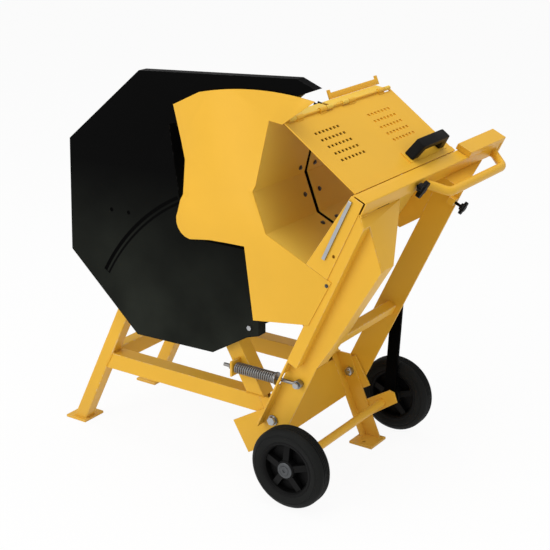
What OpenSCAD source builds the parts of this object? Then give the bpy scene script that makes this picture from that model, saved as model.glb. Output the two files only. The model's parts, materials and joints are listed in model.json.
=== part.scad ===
// Firewood saw with a fixed blade, a rocking log cradle, a return spring and two wheels.
// Millimetres, Z up, floor at z = 0, the cradle swings about an axis along Y.

/* [Base frame] */
// Middle plane to the outer face of each side frame
frame_half = 199; // [180:1:230]
// Square tube of the left legs and head ties
leg_tube = 40; // [30:1:50]
// Square tube of the rails and posts
rail_tube = 50; // [40:1:55]
// Wall of the square tubes
tube_wall = 3; // [2:0.5:5]
// Top of the long rails
rail_top = 253; // [245:1:270]
// Left leg axis at the floor
left_foot_x = -439; // [-470:1:-400]
// Lean of the left legs
left_lean = 26.3; // [22:0.1:30]
// Post axis at the top of the rail
post_foot_x = 226; // [215:1:240]
// Lean of the posts
post_lean = 30; // [26:0.5:34]
// Left edge of the right legs at the floor
right_foot_x = 352; // [345:1:365]
// Lean of the right legs
right_lean = 24; // [20:0.5:26]
// Web of the right leg angle
angle_w = 50; // [45:1:60]
// Flange of the right leg angle
angle_flange = 30; // [20:1:40]
// Thickness of the right leg angle
angle_t = 5; // [3:0.5:8]
// Foot plate thickness
foot_t = 8; // [5:0.5:12]
// Foot plate width along Y
foot_w = 84; // [75:1:100]
// Foot plate length along X
foot_l = 76; // [70:1:90]
// Bolt hole in each foot plate
foot_hole_d = 12; // [8:0.5:16]
// Pivot plate thickness
plate_t = 6; // [4:0.5:10]
// Pivot plate length
plate_l = 180; // [150:1:200]
// Pivot plate height
plate_h = 100; // [80:1:110]

/* [Wheels] */
// Axle centre along X
axle_x = 402; // [395:1:415]
// Axle height
axle_z = 121; // [118:1:130]
// Axle diameter
axle_d = 20; // [16:0.5:25]
// Wheel diameter
wheel_d = 228; // [180:1:234]
// Wheel width
wheel_w = 57; // [45:1:65]
// Rim diameter under the tyre
rim_d = 158; // [130:1:170]
// Gap between the cradle's arm flange and each wheel
wheel_gap = 17; // [16:1:34]
// Radial clearance of turning fits
run_clear = 0.05; // [0.01:0.01:0.1]
// Pockets in each rim
rim_pockets = 5; // [3:1:7]

/* [Cradle] */
// Swing axis along X
pivot_x = 296; // [290:1:302]
// Swing axis height
pivot_z = 200; // [195:1:206]
// Lean of the cradle at rest, towards the operator
rest_lean = 25; // [22:0.5:26]
// Swing towards the blade
swing = 22; // [15:0.5:22]
// Pivot bolt diameter
pivot_d = 16; // [12:0.5:20]
// Outer diameter of the pivot bush
bush_d = 26; // [24:0.5:32]
// Gap between a pivot plate and an arm
arm_gap = 2; // [1:0.5:4]
// Arm width
arm_w = 74; // [66:1:80]
// Left edge of the arms from the swing axis
arm_left = -28; // [-32:1:-24]
// Top of the arms from the swing axis
arm_top = 690; // [690:1:700]
// Bottom of the arms from the swing axis
arm_bottom = -32; // [-40:1:-25]
// Arm thickness
arm_t = 5; // [4:0.5:7]
// Depth of the arms' turned edge
arm_flange = 34; // [30:1:36]
// Sheet thickness of trough and guards
sheet_t = 3; // [2:0.5:3.5]
// Box along the near arm's outer edge, across
near_box = 34; // [30:1:38]
// Near arm's web at its widest, right of the swing axis
web_right = 88; // [80:1:94]
// Depth of the sheet folded back from the web's edge
edge_depth = 50; // [40:1:56]
// Far end of the trough
trough_rear_y = 300; // [280:1:310]
// Blade slot between the trough halves
slot_w = 16; // [10:1:20]
// Depth of the guards behind the blade slot
slot_guard = 14; // [11:1:18]
// Radius of the guard's top edge about the swing axis
guard_r = 910; // [900:1:925]
// Radius of the guard's pressed step
step_r = 654; // [640:1:660]
// Depth of the guard's pressed step
step_h = 8; // [4:0.5:9]
// Crossbar from the swing axis
cross_w = 240; // [220:1:246]
// Side of the square crossbar tube
cross_tube = 30; // [20:1:35]

/* [Beam and handles] */
// Top beam tube
beam_w = 40; // [36:1:42]
// Right face of the beam from the swing axis
beam_right = -16; // [-18:1:-14]
// Far end of the beam
beam_y1 = 520; // [510:1:530]
// Height of the stop's bar above the beam
stop_h = 18; // [12:1:22]
// Side clearance of the length stop in the beam
stop_clear = 0.5; // [0.3:0.1:1]
// Far end of the length stop
stop_y1 = 534; // [530:1:550]
// Push handle rod
handle_d = 25; // [20:0.5:26]
// Push handle bar to the right of the swing axis
handle_u = 42; // [36:1:43]
// Push handle bar above the swing axis
handle_w = 704; // [704:1:708]
// Push handle's feet above the underside of the beam
foot_rise = 14; // [13:1:18]
// Near end of the push handle's straight bar
handle_y0 = 125; // [120:1:140]
// Far end of the push handle's straight bar
handle_y1 = 450; // [400:1:455]
// Length along Y of each slanted handle leg
handle_run = 45; // [40:1:50]
// Screw of the wing knobs
knob_d = 8; // [6:0.5:10]
// Wing knob hub diameter
knob_hub_d = 20; // [16:1:24]
// Wing knob hub length
knob_hub_l = 14; // [10:1:18]
// Diameter over the knob's three wings
knob_span = 42; // [34:1:46]
// Size of the beam's knob against the arm's
beam_knob_k = 1.3; // [1:0.05:1.4]
// Width of a knob's wing
wing_d = 14; // [10:1:16]

/* [Lid] */
// Lid sheet
lid_t = 3; // [2:0.5:4]
// Hinge barrel
barrel_d = 12; // [10:0.5:13]
// Hinge pin
hinge_pin_d = 6; // [4:0.5:8]
// Rows in each group of lid slots
slot_rows = 5; // [3:1:6]
// Columns in each group of lid slots
slot_cols = 7; // [4:1:7]
// Width of the lid's turned-back hem
hem_w = 16; // [12:1:20]
// Size of one lid slot across
slot_a = 8; // [5:0.5:10]
// Size of one lid slot along
slot_b = 10; // [6:0.5:12]
// Bow handle length
bow_l = 184; // [170:1:220]
// Bow handle height
bow_h = 48; // [40:1:54]
// Bow handle bar
bow_bar = 20; // [14:0.5:22]
// Bow handle width
bow_w = 30; // [22:1:34]

/* [Saw drive] */
// Spindle axis along X
spindle_x = -18; // [-30:1:-16]
// Spindle axis height
spindle_z = 662; // [655:1:668]
// Blade diameter
blade_d = 600; // [560:1:600]
// Blade thickness
blade_t = 4; // [3:0.1:5]
// Near face of the blade
blade_y = 8; // [6:0.5:10]
// Number of blade teeth
teeth = 40; // [24:1:56]
// Shaft diameter
shaft_d = 25; // [20:0.5:28]
// Clamp flange diameter
flange_d = 104; // [80:1:120]
// Motor body diameter over the fins
motor_d = 176; // [160:1:180]
// Fin depth
fin_h = 6; // [3:0.5:8]
// Fin count
fins = 28; // [16:1:36]
// Length of the fan cover
fan_l = 62; // [50:1:70]
// Motor body length
motor_l = 180; // [160:1:200]
// Room between motor body and its plate
motor_foot_h = 12; // [8:0.5:20]
// Motor plate width
motor_plate_w = 210; // [190:1:230]
// Diameter of the motor's nose
nose_d = 140; // [120:1:150]
// Width of the motor's foot block
motor_foot_w = 140; // [120:1:150]
// Terminal box depth
box_d = 46; // [40:1:50]
// Terminal box length
box_l = 90; // [80:1:100]
// Terminal box height
box_h = 76; // [70:1:80]
// Terminal box wall
box_wall = 3; // [2:0.5:4]
// Seat of the terminal box above the fins
box_seat = 4; // [2:0.5:6]
// Cable gland diameter
gland_d = 24; // [20:1:28]
// Cable gland length
gland_l = 18; // [14:1:22]
// Thickness of the stator ring
stator_w = 24; // [20:1:28]
// Stator and terminal box set in from the housing's ends
stator_in = 30; // [26:1:34]
// Gap between rotor and stator
air_gap = 0.6; // [0.4:0.1:1]
// Width of the cooling fan
fan_w = 22; // [18:1:24]
// Length of a cooling fan blade
fan_blade = 46; // [38:1:50]
// Length of a slot in the fan cover
fan_slot = 34; // [28:1:36]
// Motor plate thickness
motor_plate_t = 10; // [6:0.5:14]
// Bearing outer diameter
bearing_d = 52; // [47:1:56]
// Bearing width
bearing_w = 12; // [10:0.5:16]
// Gap from blade to hood rim
hood_gap = 15; // [10:1:25]

/* [Front cover] */
// Depth of the cover's turned edge
cover_depth = 32; // [26:1:32]
// Clearance between the cover and the swinging trough
sweep_clear = 8; // [5:0.5:10]
// Radius kept free under the cover's top band
sweep_r = 893; // [888:1:898]
// Hole in the cover's face
cover_hole_d = 12; // [8:0.5:16]
// Cover bolt
cover_bolt_d = 8; // [6:0.5:10]

/* [Return spring] */
// Spring bolt to the right of the swing axis at rest
rod_dx = 86; // [80:1:90]
// Spring bolt above the swing axis at rest
rod_dz = 131; // [125:1:135]
// Tab on the post along X
tab_x = 175; // [165:1:180]
// Tab thickness
tab_t = 6; // [4:0.5:8]
// Guide rod
rod_d = 10; // [8:0.5:12]
// Middle of the spring from the arm's outer face
rod_gap = 10; // [9:0.5:12]
// Spring mean diameter
coil_d = 28; // [26:0.5:32]
// Spring wire
wire_d = 4.5; // [3:0.1:5]
// Number of spring curls
curls = 17; // [10:1:20]

/* [Hidden] */
$fn = 48;

yellow = [0.94, 0.70, 0.17];
black = [0.08, 0.08, 0.09];
steel = [0.66, 0.67, 0.69];
rubber = [0.10, 0.10, 0.10];

// Side view lines of the frame
function left_x(z) = left_foot_x + z * tan(left_lean);
function post_x(z) = post_foot_x - (z - rail_top) * tan(post_lean);
function right_x(z) = right_foot_x - z * tan(right_lean);
rail_z0 = rail_top - rail_tube;
left_w = leg_tube / cos(left_lean);
post_w = rail_tube / cos(post_lean);
right_w = angle_w / cos(right_lean);
right_ft = angle_t / cos(right_lean);
plate_top = spindle_z - motor_d / 2 - motor_foot_h;
head_z = plate_top - motor_plate_t;
tie_z0 = head_z - leg_tube;
plate_y1 = frame_half + plate_t;
arm_y0 = plate_y1 + arm_gap;
arm_y1 = arm_y0 + arm_t;
arm_yf = arm_y0 + arm_flange;
rod_y = arm_y1 + rod_gap;
wheel_in = arm_yf + wheel_gap;
sleeve_y1 = wheel_in - 2;
wheel_out = wheel_in + wheel_w;
cap_t = 4;

// Trough section about the swing axis, cradle upright: hinge edge, left wall, chute, floor, right wall
hinge_edge = [-313, 771];
wall_top = [-351, 759];
chute_top = [-312, 566];
floor_left = [-230, 487];
floor_right = [-94, 487];
beam_edge = [-61, 724];
trough = [hinge_edge, wall_top, chute_top, floor_left, floor_right, beam_edge];
function unit(v) = v / norm(v);
function left_of(v) = [-v[1], v[0]];
// Corner of two edges that are both moved by t to their right side
function miter(a, b, t) =
    let (n1 = -left_of(unit(a)), n2 = -left_of(unit(b)))
    t * (n1 + n2) / (1 + n1 * n2);
function shift_open(p, t) = [for (i = [0 : len(p) - 1])
    let (a = i == 0 ? p[1] - p[0] : p[i] - p[i - 1],
        b = i == len(p) - 1 ? p[i] - p[i - 1] : p[i + 1] - p[i])
    p[i] + miter(a, b, t)];
function shift_closed(p, t) = [for (i = [0 : len(p) - 1])
    let (n = len(p), a = p[i] - p[(i + n - 1) % n], b = p[(i + 1) % n] - p[i])
    p[i] + miter(a, b, t)];
function back(p) = [for (i = [len(p) - 1 : -1 : 0]) p[i]];
trough_out = shift_open(trough, sheet_t);
slot_y0 = blade_y + blade_t / 2 - slot_w / 2;
slot_y1 = slot_y0 + slot_w;
guard_y = arm_yf;
trough_y0 = -(guard_y - step_h);

// World place of a cradle point at a lean
function swung(p, lean) = [pivot_x + p[0] * cos(lean) + p[1] * sin(lean),
    pivot_z - p[0] * sin(lean) + p[1] * cos(lean)];
full_lean = rest_lean - swing;
function free_path(d) = [for (p = shift_open(trough, sheet_t + sweep_clear + d)) swung(p, full_lean)];
function free_floor(d) = swung(floor_right, full_lean)[1] - sheet_t - sweep_clear - d;

// Overall box, for the origin
knob_u1 = arm_left + arm_w + 32;
knob_w = arm_top - 39;
foot_x0 = left_x(foot_t) - foot_l / 2 - 8;
x_max = pivot_x + knob_u1 * cos(rest_lean) + (knob_w + knob_hub_d / 2) * sin(rest_lean);
mid_x = (foot_x0 + x_max) / 2;
mid_y = (stop_y1 - wheel_out - cap_t) / 2;

module place() {
    translate([-mid_x, -mid_y, 0]) children();
}
module both() {
    children();
    mirror([0, 1, 0]) children();
}
// Side view shape raised from y0 by d
module side(y0, d) {
    translate([0, y0 + d, 0]) rotate([90, 0, 0]) linear_extrude(d) children();
}
// Round bar along Y
module bar_y(x, z, d, y0, y1) {
    translate([x, y0, z]) rotate([-90, 0, 0]) cylinder(d = d, h = y1 - y0);
}
module in_cradle() {
    place() translate([pivot_x, 0, pivot_z]) rotate([0, rest_lean, 0]) children();
}
function slant(x0, z0, x1, z1, w) =
    [[x0 - w / 2, z0], [x0 + w / 2, z0], [x1 + w / 2, z1], [x1 - w / 2, z1]];
module slant_tube(x0, z0, x1, z1, w, side_w, y0) {
    k = (x1 - x0) / (z1 - z0);
    wi = w - 2 * tube_wall * w / side_w;
    difference() {
        side(y0, side_w) polygon(slant(x0, z0, x1, z1, w));
        side(y0 + tube_wall, side_w - 2 * tube_wall)
            polygon(slant(x0 - k, z0 - 1, x1 + k, z1 + 1, wi));
    }
}
module hex_y(x, z, flats, y0, y1) {
    translate([x, y0, z]) rotate([-90, 0, 0]) cylinder(d = flats / cos(30), h = y1 - y0, $fn = 6);
}

// Frame
module left_legs() color(yellow) place() both()
    slant_tube(left_x(foot_t), foot_t, left_x(tie_z0), tie_z0, left_w, leg_tube, frame_half - leg_tube);

module right_legs() color(yellow) place() both() difference() {
    union() {
        side(frame_half - angle_t, angle_t) polygon([[right_x(foot_t), foot_t],
            [right_x(foot_t) + right_w, foot_t], [right_x(rail_top) + right_w, rail_top],
            [right_x(rail_top), rail_top]]);
        side(frame_half - angle_flange, angle_flange) polygon([[right_x(foot_t), foot_t],
            [right_x(foot_t) + right_ft, foot_t], [right_x(rail_top) + right_ft, rail_top],
            [right_x(rail_top), rail_top]]);
    }
    bar_y(pivot_x, pivot_z, pivot_d, frame_half - angle_t - 1, frame_half + 1);
}

module rail_bar() side(frame_half - rail_tube, rail_tube)
    polygon([[left_x(rail_z0) + left_w / 2, rail_z0], [right_x(rail_z0), rail_z0],
        [right_x(rail_top), rail_top], [left_x(rail_top) + left_w / 2, rail_top]]);
module rails() color(yellow) place() both() difference() {
    rail_bar();
    translate([left_x(0), frame_half - rail_tube + tube_wall, rail_z0 + tube_wall])
        cube([right_x(0) - left_x(0), rail_tube - 2 * tube_wall, rail_tube - 2 * tube_wall]);
}

module posts() color(yellow) place() both()
    slant_tube(post_foot_x, rail_top, post_x(tie_z0), tie_z0, post_w, rail_tube, frame_half - rail_tube);

module head_ties() color(yellow) place() both() difference() {
    tie_x0 = left_x(tie_z0) - left_w / 2;
    tie_l = post_x(tie_z0) + post_w / 2 - tie_x0;
    translate([tie_x0, frame_half - leg_tube, tie_z0]) cube([tie_l, leg_tube, leg_tube]);
    translate([tie_x0 - 1, frame_half - leg_tube + tube_wall, tie_z0 + tube_wall])
        cube([tie_l + 2, leg_tube - 2 * tube_wall, leg_tube - 2 * tube_wall]);
}

module pivot_plates() color(yellow) place() both() difference() {
    translate([pivot_x, 0, pivot_z]) rotate([0, -31, 0]) translate([-143, frame_half, -63])
        cube([plate_l, plate_t, plate_h]);
    bar_y(pivot_x, pivot_z, pivot_d, frame_half - 1, plate_y1 + 1);
}

module left_cross_rail() color(yellow) place() difference() {
    xm = left_x(rail_top - rail_tube / 2);
    half = frame_half - leg_tube;
    translate([xm - leg_tube / 2, -half, rail_z0]) cube([leg_tube, 2 * half, rail_tube]);
    translate([xm - leg_tube / 2 + tube_wall, -half - 1, rail_z0 + tube_wall])
        cube([leg_tube - 2 * tube_wall, 2 * half + 2, rail_tube - 2 * tube_wall]);
    both() rail_bar();
}

module right_cross_plate() color(yellow) place() {
    half = frame_half - angle_flange;
    z0 = 130;
    z1 = 235;
    side(-half, 2 * half) polygon([[right_x(z0), z0], [right_x(z0) + right_ft, z0],
        [right_x(z1) + right_ft, z1], [right_x(z1), z1]]);
}

module foot_plate(x0) {
    y1 = frame_half + 11;
    difference() {
        translate([x0, y1 - foot_w, 0]) cube([foot_l, foot_w, foot_t]);
        translate([x0 + foot_l / 2, y1 - foot_w + 20, -1]) cylinder(d = foot_hole_d, h = foot_t + 2);
    }
}
module foot_plates() color(yellow) place() both() {
    foot_plate(foot_x0);
    foot_plate(right_x(foot_t) + right_w / 2 - foot_l / 2);
}

axle_bore = axle_d + 2 * run_clear;
axle_tube_d = axle_bore + 4;
module axle_beam() color(yellow) place() {
    difference() {
        bar_y(axle_x, axle_z, axle_tube_d, -frame_half - 1, frame_half + 1);
        bar_y(axle_x, axle_z, axle_bore, -frame_half - 2, frame_half + 2);
    }
    both() difference() {
        side(frame_half, plate_t) polygon([[axle_x - 94, axle_z - 29], [axle_x - 59, axle_z - 7],
            [axle_x + 24, axle_z + 45], [axle_x + 40, axle_z + 41], [axle_x + 51, axle_z + 12],
            [axle_x - 30, axle_z - 46]]);
        bar_y(axle_x, axle_z, axle_d, frame_half - 1, plate_y1 + 1);
    }
}

module axle() color(steel) place() {
    bar_y(axle_x, axle_z, axle_d, -wheel_out + 3, wheel_out - 3);
    both() bar_y(axle_x, axle_z, axle_d + 10, plate_y1, sleeve_y1);
}

bar_y0 = arm_yf + 3;
bar_t = 10;
upright_top = axle_z + 349;
module upright_bar() color(black) place() difference() {
    side(bar_y0, bar_t) union() {
        polygon([[axle_x - 18, axle_z], [axle_x + 18, axle_z], [axle_x + 36, upright_top],
            [axle_x, upright_top]]);
        translate([axle_x, axle_z]) circle(d = 52);
    }
    bar_y(axle_x, axle_z, axle_d + 10, bar_y0 - 1, bar_y0 + bar_t + 1);
}

module spring_tab() color(yellow) place() difference() {
    translate([tab_x - tab_t / 2, -rod_y - 20, pivot_z + rod_dz - 22])
        cube([tab_t, rod_y + 20 - frame_half, 44]);
    translate([tab_x - tab_t, -rod_y, pivot_z + rod_dz]) rotate([0, 90, 0])
        cylinder(d = rod_d + 5, h = 2 * tab_t);
}

module pivot_bolts() color(steel) place() both() {
    bar_y(pivot_x, pivot_z, pivot_d, frame_half - angle_t - 14, arm_y1 + 2);
    bar_y(pivot_x, pivot_z, bush_d + 3, arm_y1 + 2, arm_y1 + 5);
    hex_y(pivot_x, pivot_z, 22, arm_y1 + 5, arm_y1 + 15);
    hex_y(pivot_x, pivot_z, 24, frame_half - angle_t - 13, frame_half - angle_t);
}

// Saw drive
motor_y0 = blade_y + 37;
motor_y1 = motor_y0 + motor_l;
body_r = motor_d / 2 - fin_h;
bore_r = body_r - 6;
hood_y0 = blade_y - 30;
hood_y1 = motor_y0 - 8;
hood_r = blade_d / 2 + hood_gap;
module on_spindle() {
    place() translate([spindle_x, 0, spindle_z]) children();
}
module disc(d, y0, y1) {
    bar_y(0, 0, d, y0, y1);
}
module motor_plate() color(yellow) place() {
    translate([spindle_x - motor_plate_w / 2, motor_y0 + 10, head_z])
        cube([motor_plate_w, motor_y1 - motor_y0, motor_plate_t]);
}

module motor_housing() color(steel) on_spindle() difference() {
    union() {
        disc(2 * body_r, motor_y0, motor_y1);
        disc(nose_d, hood_y1, motor_y0);
        for (i = [0 : fins - 1])
            rotate([0, i * 360 / fins, 0]) translate([-1.5, motor_y0 + 14, body_r - 4])
                cube([3, motor_l - 28, fin_h + 4]);
        translate([-motor_foot_w / 2, motor_y0 + 25, -motor_d / 2 - motor_foot_h])
            cube([motor_foot_w, motor_l - 50, motor_foot_h + 30]);
        translate([-motor_d / 2 - box_seat, motor_y0 + stator_in, -box_h / 2]) cube([30, box_l, box_h]);
    }
    disc(2 * bore_r, motor_y0 + bearing_w, motor_y1 - bearing_w);
    disc(bearing_d, motor_y0, motor_y0 + bearing_w + 1);
    disc(bearing_d, motor_y1 - bearing_w - 1, motor_y1 + 1);
    disc(shaft_d + 3, hood_y1 - 1, motor_y0 + 1);
}

module fan_cover() color(black) on_spindle() difference() {
    disc(2 * body_r - 4, motor_y1, motor_y1 + fan_l);
    disc(2 * body_r - 10, motor_y1 - 1, motor_y1 + fan_l - 3);
    for (i = [0 : 11])
        rotate([0, i * 30, 0]) translate([-4, motor_y1 + fan_l - 4, 22]) cube([8, 6, fan_slot]);
}

module terminal_box() color(black) on_spindle() {
    x1 = -motor_d / 2 - box_seat;
    y0 = motor_y0 + stator_in;
    difference() {
        translate([x1 - box_d, y0, -box_h / 2]) cube([box_d, box_l, box_h]);
        translate([x1 - box_d + box_wall, y0 + box_wall, -box_h / 2 + box_wall])
            cube([box_d - box_wall + 1, box_l - 2 * box_wall, box_h - 2 * box_wall]);
    }
    translate([x1 - box_d / 2, y0 + box_l / 2, -box_h / 2 - gland_l]) cylinder(d = gland_d, h = gland_l);
}

module stator() color(steel) on_spindle() difference() {
    disc(2 * bore_r, motor_y0 + stator_in, motor_y1 - stator_in);
    disc(2 * (bore_r - stator_w), motor_y0 + stator_in - 1, motor_y1 - stator_in + 1);
}

module motor_bearings() color(steel) on_spindle()
    for (y = [motor_y0, motor_y1 - bearing_w]) difference() {
        disc(bearing_d, y, y + bearing_w);
        disc(shaft_d + 2 * run_clear, y - 1, y + bearing_w + 1);
    }

module motor_shaft() color(steel) on_spindle() disc(shaft_d, hood_y0 + 4, motor_y1 + 36);

module ring(d_out, d_in, y0, y1) {
    difference() {
        disc(d_out, y0, y1);
        disc(d_in, y0 - 1, y1 + 1);
    }
}
module rotor() color(steel) on_spindle() ring(2 * (bore_r - stator_w - air_gap), shaft_d,
    motor_y0 + stator_in + 4, motor_y1 - stator_in - 4);

module cooling_fan() color(black) on_spindle() {
    ring(shaft_d + 14, shaft_d, motor_y1 + 12, motor_y1 + 12 + fan_w);
    for (i = [0 : 7])
        rotate([0, i * 45, 0]) translate([-1.5, motor_y1 + 12, shaft_d / 2 + 5])
            cube([3, fan_w, fan_blade]);
}

module blade() color(steel) on_spindle() difference() {
    disc(blade_d, blade_y, blade_y + blade_t);
    disc(shaft_d, blade_y - 1, blade_y + blade_t + 1);
    for (i = [0 : teeth - 1])
        rotate([0, i * 360 / teeth, 0]) side(blade_y - 1, blade_t + 2)
            polygon([[0, blade_d / 2 - 14], [30, blade_d / 2 - 8], [34, blade_d / 2 + 6],
                [2, blade_d / 2 + 6]]);
    for (i = [0 : 3])
        rotate([0, i * 90 + 20, 0]) translate([0, 0, blade_d / 2 - 40])
            disc(6, blade_y - 1, blade_y + blade_t + 1);
}

// Flanges on both sides of the blade
module clamp_flanges() color(steel) on_spindle() {
    ring(flange_d, shaft_d, blade_y - 10, blade_y);
    ring(flange_d, shaft_d, blade_y + blade_t, blade_y + blade_t + 10);
    ring(shaft_d + 12, shaft_d, blade_y + blade_t + 10, hood_y1 - 4);
}

module arbor_nut() color(steel) on_spindle() difference() {
    hex_y(0, 0, 36, hood_y0 + 7, blade_y - 10);
    disc(shaft_d, hood_y0, blade_y);
}

// Space the trough and what stands d behind it sweep through, as a side view shape
module swept(d = 0) {
    hinge_free = swung(hinge_c, full_lean)[0] - barrel_d / 2 - sweep_clear;
    path = free_path(d);
    intersection() {
        translate([pivot_x, pivot_z]) circle(r = sweep_r, $fn = 128);
        polygon([[hinge_free, 1400], [hinge_free, path[0][1]], path[1], path[2], path[3],
            [path[3][0], free_floor(d)], [900, free_floor(d)], [900, 1400]]);
    }
}
module hood_side() {
    difference() {
        translate([spindle_x, spindle_z]) circle(r = hood_r + sheet_t, $fn = 96);
        swept();
    }
}
module hood_rim() {
    difference() {
        translate([spindle_x, spindle_z]) circle(r = hood_r + sheet_t, $fn = 96);
        translate([spindle_x, spindle_z]) circle(r = hood_r, $fn = 96);
        swept(slot_guard);
    }
}
hood_mid = blade_y - 1;
module hood_rear() color(black) place() {
    difference() {
        side(hood_y1 - sheet_t, sheet_t) hood_side();
        bar_y(spindle_x, spindle_z, shaft_d + 24, hood_y1 - sheet_t - 1, hood_y1 + 1);
    }
    side(hood_mid, hood_y1 - hood_mid - sheet_t) hood_rim();
}
module hood_front() color(black) place() {
    side(hood_y0, sheet_t) hood_side();
    side(hood_y0 + sheet_t, hood_mid - hood_y0 - sheet_t) hood_rim();
}

// Front cover, its corners in side view
tab_bolt = [232, 462];
cover_line = [[-125, 1119], [-387, 901], [-400, 570], [-163, 354], [106, 361], [222, 431], [262, 444],
    [262, 492], [236, 520], [236, 700], [300, 1040], [384, 1108], [433, 1127], [378, 1149]];
cover_y0 = -(frame_half + cover_depth);
module cover_face() {
    difference() {
        polygon(cover_line);
        swept();
    }
}
module front_cover() color(black) place() difference() {
    union() {
        side(cover_y0, sheet_t) cover_face();
        side(cover_y0 + sheet_t, cover_depth - sheet_t) difference() {
            cover_face();
            polygon(shift_closed(cover_line, -sheet_t));
            translate([236 - 40, 500]) square([200, 400]);
        }
    }
    for (p = [[-241, 714], [-179, 715]])
        bar_y(p[0], p[1], cover_hole_d, cover_y0 - 1, cover_y0 + sheet_t + 1);
    bar_y(tab_bolt[0], tab_bolt[1], cover_bolt_d, cover_y0 - 1, cover_y0 + sheet_t + 1);
}
module cover_bolt() color(steel) place() {
    hex_y(tab_bolt[0], tab_bolt[1], cover_bolt_d + 5, cover_y0 - 5, cover_y0);
    bar_y(tab_bolt[0], tab_bolt[1], cover_bolt_d, cover_y0, cover_y0 + 14);
    hex_y(tab_bolt[0], tab_bolt[1], cover_bolt_d + 5, cover_y0 + sheet_t, cover_y0 + 10);
}

// Cradle
module arm_shape() difference() {
    union() {
        translate([arm_left, arm_y0, arm_bottom]) cube([arm_w, arm_t, arm_top - arm_bottom]);
        translate([arm_left, arm_y0, arm_bottom]) cube([arm_t, arm_flange, arm_top - arm_bottom]);
    }
    bar_y(0, 0, bush_d, arm_y0 - 1, arm_y1 + 1);
}
bolt_u = rod_dx * cos(rest_lean) - rod_dz * sin(rest_lean);
bolt_w = rod_dx * sin(rest_lean) + rod_dz * cos(rest_lean);
rod_bolt_d = 10;
web_edge = [[arm_left + arm_w, 225], [web_right - 29, 308], [web_right, 583]];
box_w = 205;
panel_low = web_edge[2];
panel_top = [beam_right + 0.4, arm_top - 0.4];
panel_way = unit(panel_top - panel_low);
panel_in = left_of(panel_way);
panel_cut = sheet_t + 0.3;
module near_arm() color(yellow) in_cradle() difference() {
    union() {
        mirror([0, 1, 0]) arm_shape();
        side(-arm_y1, arm_t) polygon(concat([[arm_left, web_edge[0][1]]], web_edge,
            [[web_right, arm_top], [arm_left, arm_top]]));
        translate([arm_left, -arm_yf, box_w]) cube([near_box, arm_t, arm_top - box_w]);
        translate([arm_left + near_box - arm_t, -arm_yf, box_w]) cube([arm_t, arm_flange, arm_top - box_w]);
    }
    side(-arm_yf - 1, arm_flange + 2) polygon([panel_low + panel_cut * panel_in - 6 * panel_way,
        panel_top + panel_cut * panel_in + 8 * panel_way, [web_right + 10, arm_top + 10],
        [web_right + 10, panel_low[1] - 6]]);
    bar_y(bolt_u, bolt_w, rod_bolt_d, -arm_y1 - 1, -arm_y0 + 1);
    translate([arm_left - 1, -rod_y - 9, bolt_w - 42]) cube([arm_t + 2, 18, 48]);
}
nut_block = 20;
brace_y1 = 437;
module far_arm() color(yellow) in_cradle() {
    arm_shape();
    translate([0, 0, arm_top - arm_t]) linear_extrude(arm_t) polygon([[beam_right - 10, arm_y0],
        [arm_left + arm_w, arm_y0], [arm_left + arm_w, arm_y1], [beam_right, brace_y1],
        [beam_right - 10, brace_y1]]);
    difference() {
        translate([arm_left + arm_w - nut_block, arm_y0 - nut_block, knob_w - nut_block / 2])
            cube(nut_block);
        translate([arm_left, arm_y0 - nut_block / 2, knob_w]) rotate([0, 90, 0])
            cylinder(d = knob_d + 2 * run_clear, h = arm_w + 1);
    }
}
module pivot_bushes() color(steel) in_cradle() both() difference() {
    bar_y(0, 0, bush_d, arm_y0 - 1, arm_y1 + 1);
    bar_y(0, 0, pivot_d + 2 * run_clear, arm_y0 - 2, arm_y1 + 2);
}

// Hinge line of the lid, and lengths along and square to the lid
lid_dir = unit(beam_edge - hinge_edge);
lid_up = left_of(lid_dir);
lid_l = norm(beam_edge - hinge_edge);
lid_gap = 2;
barrel_up = lid_gap + lid_t + barrel_d / 2 - 1;
hinge_c = hinge_edge + barrel_up * lid_up;
lug_l = 30;
lug_foot = (hinge_edge + trough_out[0]) / 2;
module on_lid() {
    in_cradle() translate([hinge_edge[0], 0, hinge_edge[1]])
        rotate([0, -atan2(lid_dir[1], lid_dir[0]), 0]) children();
}
module lug(y) {
    difference() {
        union() {
            bar_y(hinge_c[0], hinge_c[1], barrel_d, y, y + lug_l);
            side(y, lug_l) polygon([lug_foot, lug_foot + 16 * unit(wall_top - hinge_edge),
                hinge_c + [-barrel_d / 2, 0], hinge_c, hinge_c + [0, -barrel_d / 2 + 0.5]]);
        }
        bar_y(hinge_c[0], hinge_c[1], hinge_pin_d, y - 1, y + lug_l + 1);
    }
}
trough_lugs = [trough_y0 + 18, -40, 40, trough_rear_y - 38];
lug_step = lug_l + 2;
lid_lugs = [trough_lugs[0] + lug_step, trough_lugs[1] - lug_step, trough_lugs[2] + lug_step,
    trough_lugs[3] - lug_step];
module trough_wall(y0, y1) {
    side(y0, y1 - y0) polygon(concat(trough, back(trough_out)));
}
module trough_front() color(yellow) in_cradle() {
    trough_wall(trough_y0, slot_y0);
    lug(trough_lugs[0]);
    lug(trough_lugs[1]);
}
module trough_rear() color(yellow) in_cradle() {
    trough_wall(slot_y1, trough_rear_y);
    lug(trough_lugs[2]);
    lug(trough_lugs[3]);
}
// Guards along the blade slot, behind the trough
slot_path = [wall_top, chute_top, floor_left, floor_right, floor_right + 0.6 * (beam_edge - floor_right)];
module slot_guards() color(black) in_cradle() for (y = [slot_y0 - sheet_t, slot_y1]) side(y, sheet_t)
    polygon(concat(shift_open(slot_path, sheet_t), back(shift_open(slot_path, sheet_t + slot_guard))));
module hinge_pin() color(steel) in_cradle()
    bar_y(hinge_c[0], hinge_c[1], hinge_pin_d, trough_lugs[0] - 3, trough_lugs[3] + lug_l + 3);

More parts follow.
